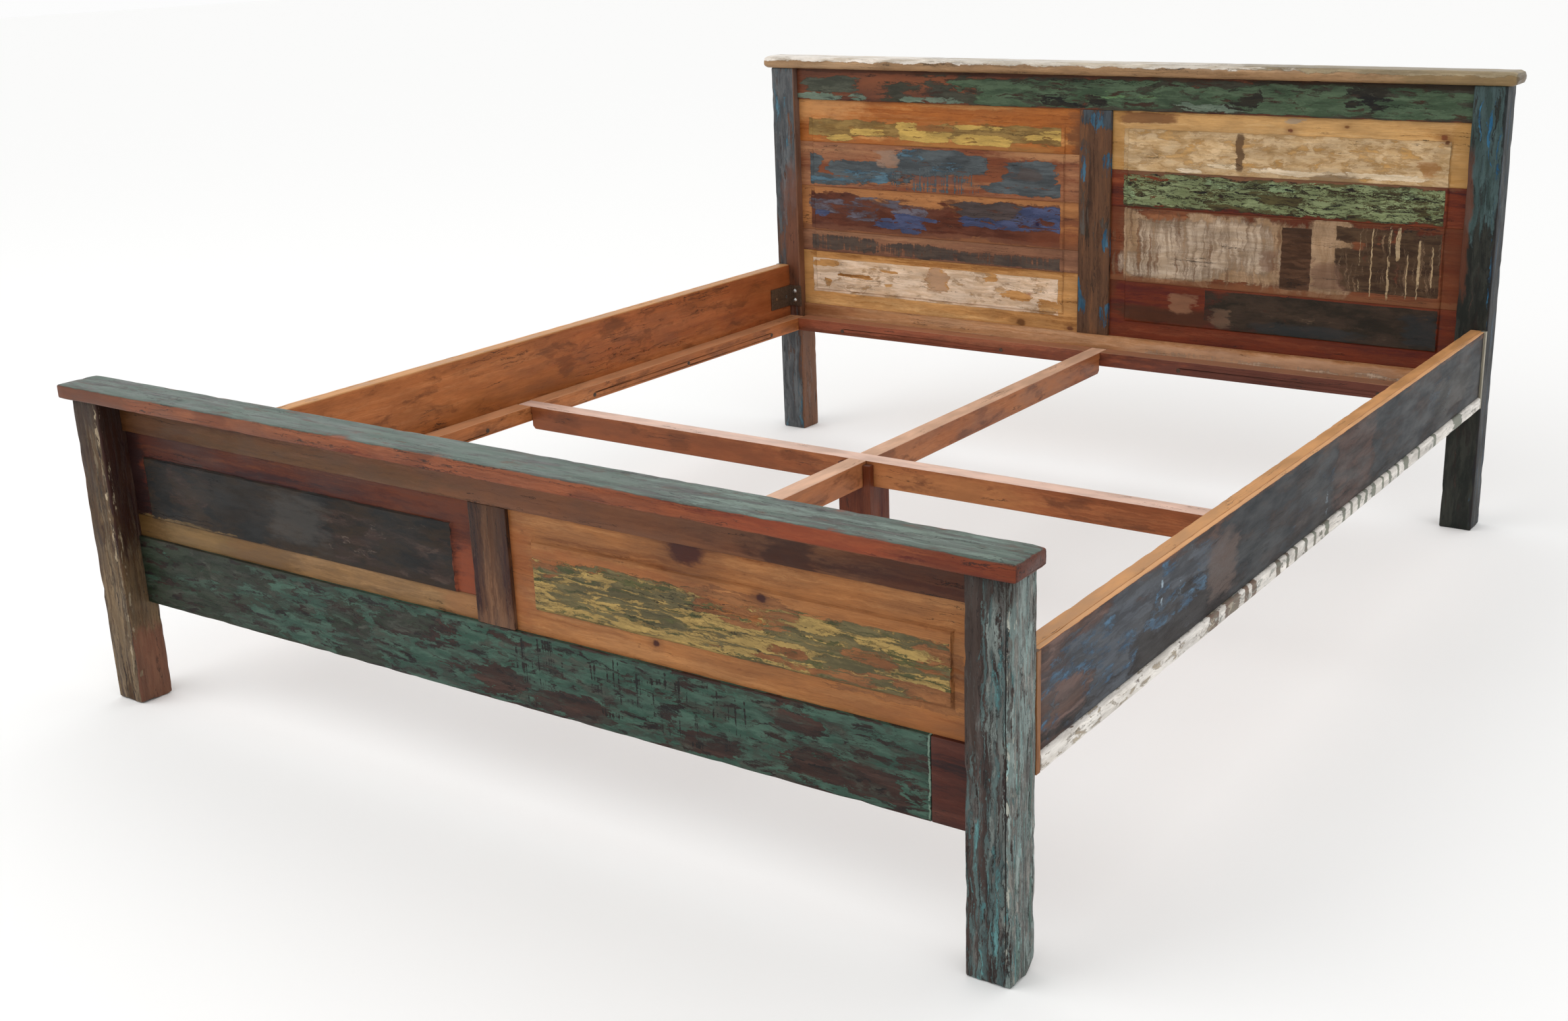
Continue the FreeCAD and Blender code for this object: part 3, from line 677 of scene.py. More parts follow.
# ---------------------------------------------------------------- foot end
TOP_FACE = (-1, 2, 0.955, 2)
worn_board("foot_cap", "x", ((86, 45, 32), (123, 71, 50), (140, 86, 62)), [
    stain((92, 64, 52), [(0, 0.1, 0, 1)], 0.8, 1.0),
    stain((112, 76, 58), [(0.1, 0.36, 0, 1)], 0.45, 1.2),
    stain((138, 72, 50), [(0.76, 0.91, 0, 1)], 0.6, 1.0),
    stain((100, 52, 40), [(0.935, 1, 0, 1)], 0.7, 0.9),
    stain((88, 54, 44), [(0.2, 0.24, 0, 1), (0.45, 0.48, 0, 1), (0.62, 0.66, 0, 0.6)], 0.5, 1.2),
    coat(((80, 94, 86), (97, 109, 101)), WHOLE, 0.8, (8, 60), edge=0.06, mottle=(5, 50), clip=TOP_FACE),
    coat(((104, 118, 108), (112, 128, 120)), [(0.7, 0.96, 0, 1)], 0.5, (6, 60), edge=0.06, soft=0.08,
        relief=0.05, clip=TOP_FACE),
    coat(((78, 76, 74), (92, 92, 88)), WHOLE, 0.42, (8, 70), soft=0.06, relief=0.1, edge=0.06,
        clip=TOP_FACE),
    coat(((84, 62, 54), (98, 76, 66)), [(0.02, 0.5, 0, 1, 0, 0.5)], 0.36, (9, 90), soft=0.05, relief=-0.1,
        edge=0.0, clip=TOP_FACE),
    coat(((50, 48, 44), (62, 60, 56)), WHOLE, 0.33, (22, 160), soft=0.04, relief=-0.4, clip=TOP_FACE),
], dict(splits=0.9, gloss=0.42), radius=0.0035, chips=0.002, gouge=0.0006)
worn_board("foot_post_left", "z", ((50, 38, 31), (80, 60, 46), (108, 84, 66)), [
    coat(((72, 57, 43), (94, 77, 59)), WHOLE, 0.54, (10, 130)),
    coat(((98, 82, 64), (118, 100, 78)), [(0, 0.45, 0, 1)], 0.54, (10, 130)),
    coat(((88, 76, 60), (108, 94, 76)), [(0.4, 1, 0.5, 1)], 0.46, (11, 140)),
    coat(((150, 138, 118), (174, 162, 142)), WHOLE, 0.26, (18, 150)),
    coat(((44, 35, 30), (56, 45, 38)), WHOLE, 0.38, (10, 160), relief=-0.3),
    # painted shade and grime: the upper side face beside the panel and rails made darker
    stain((56, 40, 32), [(0.5, 1, 0.95, 1)], 0.8, 0.9, 0.3),
    stain((100, 80, 60), [(0.24, 0.5, 0.95, 1)], 0.5, 0.9, 0.3),
    stain((54, 43, 36), [(0.72, 1, 0, 0.5), (0.9, 1, 0, 1)], 0.7, 1.2),
    stain((68, 54, 44), [(0.42, 0.74, 0, 0.42)], 0.5, 1.2),
    stain((110, 76, 62), [(0, 0.24, 0.94, 1)], 0.85, 0.5, 0.4),
    # paint worn off the near arris, lightened into a painted highlight
    coat(((128, 112, 90), (164, 148, 124)), [(0.05, 0.9, 0.84, 1, 0, 0.12)], 0.44, (34, 110), wander=0.5,
        relief=0.4),
], WEATHERED, radius=0.004, chips=0.004, gouge=0.0015, grooves=0.001, broken=0.006)
worn_board("foot_post_right", "z", ((46, 39, 37), (64, 54, 51), (84, 74, 70)), [
    coat(((70, 84, 84), (94, 110, 108)), WHOLE, 0.5, (10, 130), bare=[(0.5, 1, 0, 0.42, 0, 0.3)]),
    coat(((94, 100, 97), (114, 122, 118)), [(0.3, 1, 0.56, 1, 0, 0.2)], 0.5, (12, 160)),
    coat(((112, 126, 123), (138, 150, 146)), [(0, 1, 0.9, 1)], 0.6, (12, 120)),
    coat(((70, 94, 88), (90, 116, 108)), [(0, 0.5, 0.9, 1, 0.3, 1)], 0.46, (12, 120)),
    coat(((124, 158, 155), (144, 172, 169)), [(0.2, 1, 0.9, 1, 0, 0.5)], 0.42, (12, 140)),
    coat(((74, 108, 110), (96, 136, 136)), [(0, 0.34, 0, 1, 0, 0.2), (0.5, 1, 0.5, 1, 0, 0.2)], 0.42,
        (14, 90)),
    coat(((84, 80, 77), (108, 106, 102)), [(0, 1, 0, 0.9)], 0.42, (16, 120), **FILM),
    coat(((104, 102, 97), (142, 141, 135)), [(0, 1, 0.9, 1)], 0.45, (20, 120), soft=0.06, mottle=(30, 160),
        relief=0.0, edge=0.0),
    coat(((40, 35, 33), (54, 48, 44)), WHOLE, 0.4, (9, 210), relief=-0.3),
    coat(((140, 140, 132), (158, 158, 148)), WHOLE, 0.25, (20, 240), relief=0.1),
    # paint worn off the near arris, lightened into a painted highlight
    coat(((138, 140, 130), (168, 170, 160)), [(0.03, 0.97, 0.88, 1, 0, 0.14)], 0.44, (34, 120), wander=0.4,
        relief=0.4),
    coat(((36, 31, 29), (48, 42, 39)), [(0.02, 0.98, 0.855, 0.875, 0, 0.3)], 0.6, wander=0.05, fray=0.5,
        relief=-0.9, edge=0.0),
    stain((58, 50, 46), [(0.55, 1, 0, 0.35, 0, 0.3), (0.93, 1, 0, 1, 0, 0.3)], 0.6, 1.0),
], WEATHERED, radius=0.004, chips=0.004, gouge=0.0015, grooves=0.0018, broken=0.02)
worn_board("foot_top_rail", "x", ((70, 47, 34), (102, 70, 52), (124, 88, 68)), [
    stain((76, 54, 38), [(0, 0.2, 0, 1)], 0.7, 1.2),
    stain((92, 70, 50), [(0.12, 0.5, 0, 0.5)], 0.5, 1.2),
    stain((116, 78, 58), [(0.45, 0.78, 0, 1)], 0.6, 1.2),
    stain((66, 46, 40), [(0.8, 0.84, 0, 0.7)], 0.85),
    stain((72, 46, 40), [(0.88, 1, 0, 1)], 0.7),
], span=(-0.87, 0.87))
worn_board("foot_bottom_rail", "x", ((42, 34, 32), (56, 45, 42), (72, 56, 51)), [
    coat(((42, 48, 41), (56, 61, 53)), [(0, 0.36, 0, 1)], 0.85, (8, 40)),
    coat(((50, 64, 55), (64, 78, 68)), [(0.05, 0.34, 0, 0.66)], 0.46, (10, 36), soft=0.05),
    coat(((52, 72, 63), (70, 91, 80)), [(0.3, 1, 0, 1)], 0.6, (10, 34), bare=[(0.3, 0.36, 0.35, 0.75),
        (0.37, 0.47, 0.55, 0.85), (0.5, 0.56, 0.1, 0.5), (0.31, 0.37, 0, 0.3), (0.57, 0.66, 0.05, 0.35),
        (0.74, 0.8, 0.05, 0.3), (0.83, 0.88, 0.6, 0.85), (0.84, 0.95, 0.1, 0.45)]),
    coat(((76, 98, 86), (88, 112, 99)), [(0.6, 0.96, 0.2, 0.9)], 0.34, (14, 60), soft=0.08, relief=0.05),
    coat(((58, 60, 54), (76, 79, 71)), [(0.25, 1, 0, 1)], 0.42, (20, 50), soft=0.1, relief=0.0, edge=0.0),
    coat(((40, 36, 33), (54, 45, 42)), [(0.2, 1, 0, 1)], 0.43, (24, 80), relief=-0.2),
    coat(((32, 31, 29), (44, 41, 38)), [(0.56, 0.6, 0.2, 0.9), (0.66, 0.78, 0.25, 0.85)], 0.36, comb=1.0,
        relief=-0.3),
    coat(((96, 118, 104), (116, 136, 122)), [(0.9805, 0.982, 0.02, 1)], 0.62, wander=0.1, fray=0.6),
], span=(-0.87, 0.794), chips=0.002)
worn_board("foot_bottom_rail_end_block", "x", ((50, 32, 30), (74, 46, 41), (90, 56, 48)),
    span=(0.7945, 0.87))
worn_board("foot_centre_stile", "z", ((54, 39, 32), (85, 61, 48), (116, 86, 66)), [
    coat(((112, 90, 70), (126, 102, 82)), WHOLE, 0.34, (14, 140), soft=0.06, relief=0.2),
    stain((70, 52, 43), [(0.6, 1, 0, 1)], 0.5, 1.2),
    stain((112, 84, 66), [(0, 0.18, 0, 1)], 0.5, 1.0),
], dict(splits=1.0, fibre=2.2), span=(0.315, 0.512), grooves=0.0006)
FOOT_BORDER = 0.042
FRONT = (0, 0.7)
plank("foot_left_panel_upper_plank", ((56, 33, 26), (77, 46, 35), (98, 58, 42)), [
    # painted shade and grime: a dark strip where the plank meets the post
    stain((46, 35, 30), [(0, 0.05, 0, 1)], 0.9),
    stain((122, 66, 47), [(0.94, 1, 0, 0.52)], 0.95),
    stain((104, 60, 44), [(0.75, 1, 0.72, 1)], 0.6, 1.2),
    stain((60, 42, 34), [(0.04, 0.3, 0.72, 1)], 0.5, 1.2),
    coat(((38, 34, 30), (54, 46, 40)), WHOLE, 0.9, (10, 40), clip=(0.055, 0.937, -1, 0.69), mottle=(10, 22)),
    coat(((60, 48, 44), (74, 62, 56)), [(0.14, 0.25, 0.3, 0.66), (0.62, 0.9, 0.1, 0.5)], 0.44, (14, 40),
        soft=0.1, relief=0.05),
    stain((72, 69, 66), [(0.45, 0.6, 0.12, 0.6)], 0.6, 1.6),
    stain((38, 39, 36), [(0.09, 0.14, 0.1, 0.6), (0.25, 0.42, 0.1, 0.65)], 0.6, 0.9),
    coat(((96, 84, 76), (114, 100, 90)), [(0.7, 0.76, 0.2, 0.45), (0.8, 0.86, 0.5, 0.65),
        (0.62, 0.7, 0.1, 0.3)], 0.36, (30, 60), soft=0.06, relief=0.1),
    coat(((90, 74, 52), (106, 86, 60)), [(0.03, 0.35, 0, 0.03), (0.4, 0.6, 0, 0.02)], 0.6, soft=0.1),
], FOOT_BORDER, open_low=False, open_high=True)
plank("foot_left_panel_lower_plank", ((90, 68, 46), (122, 94, 65), (144, 112, 78)), [
    stain((82, 64, 44), [(0, 0.12, 0, 1)], 0.9, 1.2),
    stain((98, 74, 50), [(0.26, 0.5, 0, 1)], 0.7, 1.2),
    stain((106, 88, 60), [(0.1, 0.3, 0, 1)], 0.5, 1.2),
    stain((136, 94, 64), [(0.9, 1, 0, 1)], 0.6, 1.0),
], FOOT_BORDER, open_low=True, open_high=False, field=False)
OLIVE = ((84, 78, 58), (108, 98, 70))
YELLOW = ((140, 118, 74), (162, 136, 84))
RIGHT_FIELD = (0.062, 0.934, 0.232, 0.67)
plank("foot_right_panel_plank", ((116, 72, 45), (143, 96, 61), (162, 114, 74)), [
    stain((128, 78, 52), [(0, 0.06, 0.1, 0.9), (0.06, 0.5, 0.55, 0.72)], 0.6, 0.9),
    stain((132, 84, 55), [(0.8, 1, 0, 0.2)], 0.5, 1.0),
    coat(OLIVE, [(0.0, 0.24, 0.2, 0.56), (0.12, 0.46, 0.2, 0.62), (0.4, 1, 0.2, 0.64)], 0.78, (12, 90),
        bare=[(0.44, 0.58, 0.52, 0.7)], clip=RIGHT_FIELD),
    coat(YELLOW, [(0.0, 0.1, 0.2, 0.5), (0.06, 0.26, 0.2, 0.3), (0.15, 0.24, 0.52, 0.6),
        (0.2, 0.27, 0.36, 0.42), (0.27, 0.47, 0.2, 0.33), (0.38, 0.56, 0.41, 0.5), (0.44, 0.66, 0.35, 0.42),
        (0.56, 0.72, 0.54, 0.64), (0.76, 0.93, 0.52, 0.6), (0.84, 1, 0.34, 0.42), (0.5, 0.66, 0.25, 0.31)],
        0.58, (16, 110), fray=0.24, clip=RIGHT_FIELD),
    coat(YELLOW, [(0.06, 1, 0.2, 0.62)], 0.44, (20, 150), clip=RIGHT_FIELD),
    coat(((72, 74, 52), (88, 86, 58)), [(0.06, 1, 0.24, 0.62)], 0.42, (16, 130), relief=-0.1,
        clip=RIGHT_FIELD),
    coat(((58, 50, 40), (70, 60, 46)), [(0.06, 1, 0.26, 0.62)], 0.33, (18, 170), relief=-0.3,
        clip=RIGHT_FIELD),
    coat(((116, 78, 54), (134, 92, 62)), [(0.45, 0.62, 0.5, 0.7), (0.06, 0.12, 0.52, 0.6),
        (0.58, 0.66, 0.28, 0.38), (0.7, 0.95, 0.2, 0.34), (0.88, 0.95, 0.46, 0.62), (0.74, 0.84, 0.4, 0.5)],
        0.52, (14, 90), relief=-0.1),
    knot(0.415, 0.92, 0.026, (62, 38, 30)),
    knot(0.575, 0.71, 0.006),
    knot(0.34, 0.19, 0.005),
], FOOT_BORDER, open_low=True, open_high=True)

# ---------------------------------------------------------------- head end
worn_board("head_cap", "x", ((118, 92, 66), (148, 118, 88), (166, 136, 104)), [
    stain((112, 98, 70), [(0.86, 1, 0, 1)], 0.7, 1.0),
    # pale paint on the cap's rounded top, lightened into a painted highlight that is brightest at the left
    # and dimmer to the right
    coat(((186, 174, 158), (222, 214, 204)), [(0, 0.45, 0.7, 1)], 0.78, edge=0.0, soft=0.06),
    coat(((176, 164, 146), (204, 196, 184)), [(0.3, 0.74, 0.74, 1)], 0.74, edge=0.0, soft=0.06),
    coat(((128, 114, 90), (146, 132, 106)), [(0.72, 1, 0.7, 1)], 0.7, edge=0.0, soft=0.06),
], dict(gloss=0.35), radius=0.012, chips=0.001)
worn_board("head_post_left", "z", ((58, 46, 42), (84, 64, 55), (108, 76, 60)), [
    coat(((70, 72, 74), (94, 96, 97)), [(0.66, 1, 0, 1), (0, 0.32, 0, 0.8)], 0.62, (7, 60)),
    coat(((64, 66, 68), (82, 86, 88)), [(0.3, 0.7, 0, 0.36)], 0.56, (7, 60)),
    coat(((62, 88, 100), (84, 114, 126)), [(0.78, 1, 0, 0.6), (0.45, 0.7, 0, 0.3), (0, 0.22, 0.1, 1)], 0.4,
        (9, 70)),
    coat(((52, 42, 38), (66, 52, 46)), WHOLE, 0.36, (9, 80), soft=0.06, relief=-0.2),
    stain((108, 70, 54), [(0.42, 0.72, 0.36, 1), (0.3, 0.45, 0.3, 0.8)], 0.7, 1.2),
    stain((134, 96, 74), [(0, 1, 0.95, 1)], 0.5, 0.6, 0.2),
], dict(splits=0.8), radius=0.003, chips=0.003, gouge=0.001)
worn_board("head_post_right", "z", ((44, 40, 38), (58, 52, 48), (76, 66, 60)), [
    coat(((42, 44, 42), (56, 57, 53)), WHOLE, 0.66, (6, 60)),
    coat(((56, 68, 66), (72, 88, 88)), [(0.74, 1, 0, 1)], 0.6, (8, 60)),
    coat(((44, 84, 114), (62, 108, 136)), [(0.84, 0.96, 0.3, 0.7, 0, 0.3), (0.4, 0.92, 0.88, 1),
        (0.0, 0.3, 0.9, 1)], 0.44, (9, 80)),
    coat(((40, 38, 36), (52, 48, 44)), WHOLE, 0.38, (8, 60), soft=0.06, relief=-0.2),
    stain((96, 58, 44), [(0.55, 0.86, 0, 0.22, 0, 0.3)], 0.7, 0.7),
    stain((46, 46, 47), [(0, 1, 0.94, 1, 0, 1)], 0.75, 0.5),
], dict(splits=0.8), radius=0.003, chips=0.003, gouge=0.001)
GREEN = ((62, 76, 60), (82, 98, 78))
worn_board("head_top_rail", "x", ((64, 44, 38), (100, 64, 50), (114, 72, 54)), [
    stain((124, 78, 56), [(0.12, 0.3, 0.3, 0.9)], 0.5, 1.2),
    coat(((56, 56, 48), (70, 69, 60)), [(0.3, 1, 0, 0.9)], 0.62, (9, 40)),
    coat(((64, 66, 58), (82, 84, 73)), [(0.035, 0.115, 0.3, 0.74)], 0.72, (16, 60)),
    coat(((92, 106, 92), (108, 120, 106)), [(0.02, 0.1, 0.0, 0.2), (0.11, 0.13, 0, 0.2),
        (0.2, 0.28, 0.04, 0.2), (0.62, 0.7, 0.08, 0.3)], 0.56, (16, 70)),
    coat(GREEN, [(0.28, 0.33, 0.4, 0.72), (0.32, 0.5, 0.05, 0.78), (0.5, 0.62, 0.15, 0.85),
        (0.63, 0.7, 0.3, 0.7), (0.7, 0.98, 0.1, 0.85)], 0.56, (10, 40)),
    coat(((84, 110, 78), (98, 124, 90)), [(0.5, 0.58, 0.4, 0.7)], 0.42, (12, 60)),
    coat(((58, 46, 40), (70, 54, 46)), [(0.3, 1, 0, 0.9)], 0.4, (14, 60), soft=0.05, relief=-0.1),
    coat(((40, 40, 36), (52, 50, 44)), [(0.42, 0.5, 0.12, 0.4), (0.68, 0.72, 0.2, 0.7),
        (0.83, 0.88, 0.3, 0.95)], 0.5, (14, 50), relief=0.1),
    stain((74, 52, 42), [(0, 0.7, 0.88, 1)], 0.7, 0.5),
    stain((54, 46, 38), [(0.7, 1, 0.86, 1)], 0.8, 0.5),
], span=(-0.87, 0.87), chips=0.002)
worn_board("head_bottom_rail", "x", ((142, 96, 62), (166, 122, 86), (184, 144, 110)), [
    stain((184, 150, 124), [(0.56, 0.94, 0.2, 0.9)], 0.6, 1.2),
    coat(((176, 152, 130), (196, 174, 152)), [(0.6, 0.9, 0.25, 0.62)], 0.46, (14, 60), comb=0.4, soft=0.1,
        relief=0.05),
    stain((128, 78, 56), [(0, 0.1, 0.4, 1)], 0.5, 1.2),
], span=(-0.87, 0.87))
worn_board("head_centre_stile", "z", ((66, 50, 42), (94, 69, 54), (112, 78, 56)), [
    coat(((58, 62, 66), (72, 78, 82)), [(0.9, 0.99, 0.2, 1)], 0.56, (9, 50)),
    coat(((74, 68, 62), (86, 80, 74)), [(0.5, 0.8, 0, 0.3), (0.3, 0.5, 0.6, 1), (0.2, 0.35, 0, 0.3)], 0.46,
        (9, 50), soft=0.05),
    coat(((50, 76, 96), (68, 98, 116)), [(0.62, 0.8, 0, 0.16), (0.12, 0.26, 0, 0.2), (0.4, 0.48, 0.8, 1),
        (0.7, 0.78, 0.76, 1), (0.08, 0.16, 0.76, 1), (0.9, 0.96, 0.4, 0.8)], 0.5, (12, 60)),
    coat(((54, 46, 40), (66, 56, 48)), WHOLE, 0.36, (9, 60), soft=0.05, relief=-0.1),
], dict(splits=0.8), span=(0.351, 0.892))
HEAD_BORDER = 0.04
COBALT = ((60, 66, 90), (76, 82, 108))
HEAD_FIELD = (0.045, 0.93, -1, 2)
CREAM_FIELD = (0.045, 0.925, 0.285, 0.88)
HEAD_LEFT = {
    1: (((128, 74, 42), (154, 94, 52), (180, 128, 78)), [
        stain((188, 142, 94), [(0, 0.24, 0.5, 1)], 0.6, 1.2),
        stain((106, 70, 50), [(0.955, 1, 0, 0.9)], 0.8),
        stain((146, 106, 64), [(0.4, 0.9, 0, 0.16)], 0.6, 0.8),
        coat(((112, 88, 54), (140, 114, 70)), [(0.0, 0.4, 0.18, 0.5), (0.54, 1, 0.2, 0.5)], 0.74, (14, 60),
            wander=0.6, clip=HEAD_FIELD),
        coat(((162, 134, 76), (186, 154, 86)), [(0.12, 0.2, 0.07, 0.2), (0.21, 0.31, 0.2, 0.32),
            (0.385, 0.55, 0.13, 0.34), (0.38, 0.44, 0.3, 0.5), (0.59, 0.75, 0.1, 0.3),
            (0.6, 0.72, 0.42, 0.5), (0.82, 0.87, 0.24, 0.36), (0.89, 1, 0.28, 0.44)], 0.62, (16, 60),
            wander=0.7, clip=HEAD_FIELD),
        coat(((118, 88, 52), (136, 104, 60)), [(0.06, 0.9, 0.1, 0.5)], 0.4, (18, 90), relief=-0.1,
            clip=HEAD_FIELD),
        stain((134, 92, 56), [(0.44, 0.57, 0.34, 0.48)], 0.85, 0.6),
    ]),
    2: (((116, 70, 52), (138, 95, 70), (160, 116, 84)), [
        stain((112, 66, 48), [(0.6, 0.93, 0.3, 0.84), (0.07, 0.2, 0.2, 0.55)], 0.85, 0.8),
        stain((164, 122, 86), [(0.72, 1, 0.84, 1)], 0.7, 0.8),
        stain((96, 70, 64), [(0.42, 0.62, 0.2, 0.4)], 0.8, 0.7),
        coat(((68, 72, 74), (84, 90, 92)), [(0.37, 0.62, 0.42, 0.9), (0.6, 0.69, 0.5, 0.86),
            (0.28, 0.42, 0.22, 0.5), (0.13, 0.32, 0.28, 0.6), (0.76, 0.9, 0.3, 0.8),
            (0.0, 0.22, 0.06, 0.28), (0.0, 0.07, 0.2, 0.7), (0.72, 1, 0.1, 0.34)], 0.74, (16, 44),
            wander=0.8, clip=HEAD_FIELD),
        coat(((68, 92, 106), (86, 110, 122)), [(0.19, 0.32, 0.16, 0.4), (0.38, 0.46, 0.66, 0.88),
            (0.0, 0.18, 0.1, 0.2), (0.5, 0.6, 0.5, 0.66), (0.31, 0.36, 0.3, 0.42)], 0.5, (18, 60),
            clip=HEAD_FIELD),
        coat(((72, 80, 84), (86, 92, 94)), [(0.4, 0.62, 0.1, 0.46)], 0.44, comb=1.2, fray=0.22, wander=0.3),
        coat(((92, 64, 54), (108, 76, 62)), [(0.06, 0.95, 0.1, 0.9)], 0.36, (18, 70), relief=-0.1),
        stain((80, 70, 66), [(0.795, 0.865, 0.4, 0.66)], 0.7, 0.6),
        stain((138, 114, 98), [(0.3, 0.37, 0.52, 0.9)], 0.85, 0.7),
    ]),
    3: (((122, 78, 56), (150, 102, 66), (164, 114, 74)), [
        coat(((80, 48, 38), (98, 62, 50)), [(0.0, 0.34, 0.1, 0.8), (0.34, 0.62, 0.08, 0.64),
            (0.6, 1, 0.1, 0.86)], 0.84, (9, 30), soft=0.06, mottle=(7, 30), clip=HEAD_FIELD),
        stain((112, 76, 60), [(0, 1, 0, 0.14)], 0.6, 0.6),
        stain((112, 66, 48), [(0.8, 1, 0.06, 0.36)], 0.6, 0.9),
        coat(((84, 80, 88), (100, 96, 104)), [(0.22, 0.36, 0.62, 0.8), (0.06, 0.16, 0.44, 0.68),
            (0.18, 0.28, 0.32, 0.62), (0.36, 0.46, 0.4, 0.66)], 0.5, (14, 60), soft=0.07),
        coat(((70, 62, 60), (82, 72, 70)), [(0.605, 0.82, 0.5, 0.86)], 0.74, (14, 50)),
        coat(COBALT, [(0.29, 0.45, 0.18, 0.36), (0.38, 0.45, 0.1, 0.24), (0.355, 0.42, 0.36, 0.5),
            (0.42, 0.5, 0.38, 0.46), (0.6, 0.72, 0.34, 0.54), (0.72, 0.92, 0.34, 0.52),
            (0.81, 1, 0.46, 0.84), (0.06, 0.1, 0.3, 0.46)], 0.58, (16, 56), clip=HEAD_FIELD),
        coat(((92, 56, 44), (106, 68, 52)), [(0.1, 0.95, 0.1, 0.9)], 0.36, (18, 70), relief=-0.1),
        knot(0.855, 0.5, 0.004, (44, 40, 60)),
    ]),
    4: (((92, 64, 52), (124, 88, 69), (142, 104, 79)), [
        stain((98, 68, 58), [(0, 1, 0, 0.15)], 0.5, 0.7),
        coat(((70, 62, 58), (86, 74, 66)), [(0.0, 0.22, 0.15, 0.74), (0.24, 0.3, 0.2, 0.7),
            (0.34, 0.57, 0.1, 0.6), (0.57, 1, 0.1, 0.54)], 0.6, (16, 40), comb=0.7, soft=0.09, relief=0.1,
            clip=HEAD_FIELD),
    ]),
    5: (((136, 92, 54), (174, 128, 80), (196, 154, 104)), [
        stain((176, 132, 84), [(0, 0.045, 0, 1)], 0.7, 0.8),
        coat(((188, 160, 132), (212, 188, 164)), WHOLE, 0.7, (16, 40), clip=CREAM_FIELD, wander=0.7,
            bare=[(0.47, 0.55, 0.5, 0.9), (0.05, 0.14, 0.74, 0.86), (0.15, 0.27, 0.58, 0.64),
            (0.3, 0.37, 0.72, 0.77), (0.31, 0.35, 0.48, 0.53), (0.68, 0.72, 0.74, 0.88),
            (0.74, 0.84, 0.48, 0.62), (0.86, 0.93, 0.3, 0.5), (0.09, 0.12, 0.4, 0.56)]),
        coat(((166, 132, 96), (180, 146, 108)), [(0.05, 0.93, 0.3, 0.88)], 0.4, (20, 34), soft=0.05,
            relief=-0.2, clip=CREAM_FIELD),
        stain((166, 134, 108), [(0.475, 0.545, 0.46, 0.88)], 0.85, 0.6),
        knot(0.8, 0.11, 0.01, (96, 64, 42)),
        knot(0.965, 0.1, 0.007, (96, 60, 44)),
        knot(0.83, 0.6, 0.004, (150, 110, 90)),
    ]),
}
for number, (timber, layers) in HEAD_LEFT.items():
    name = "head_left_panel_plank_%d" % number
    plank(name, timber, layers, HEAD_BORDER, open_low=number == 5, open_high=number == 1)
SAND_FIELD = (0.045, 0.94, -1, 0.665)
GREEN_FIELD = (0.045, 0.935, -1, 2)
COMBED_FIELD = (0.66, 0.935, 0.13, 0.95)
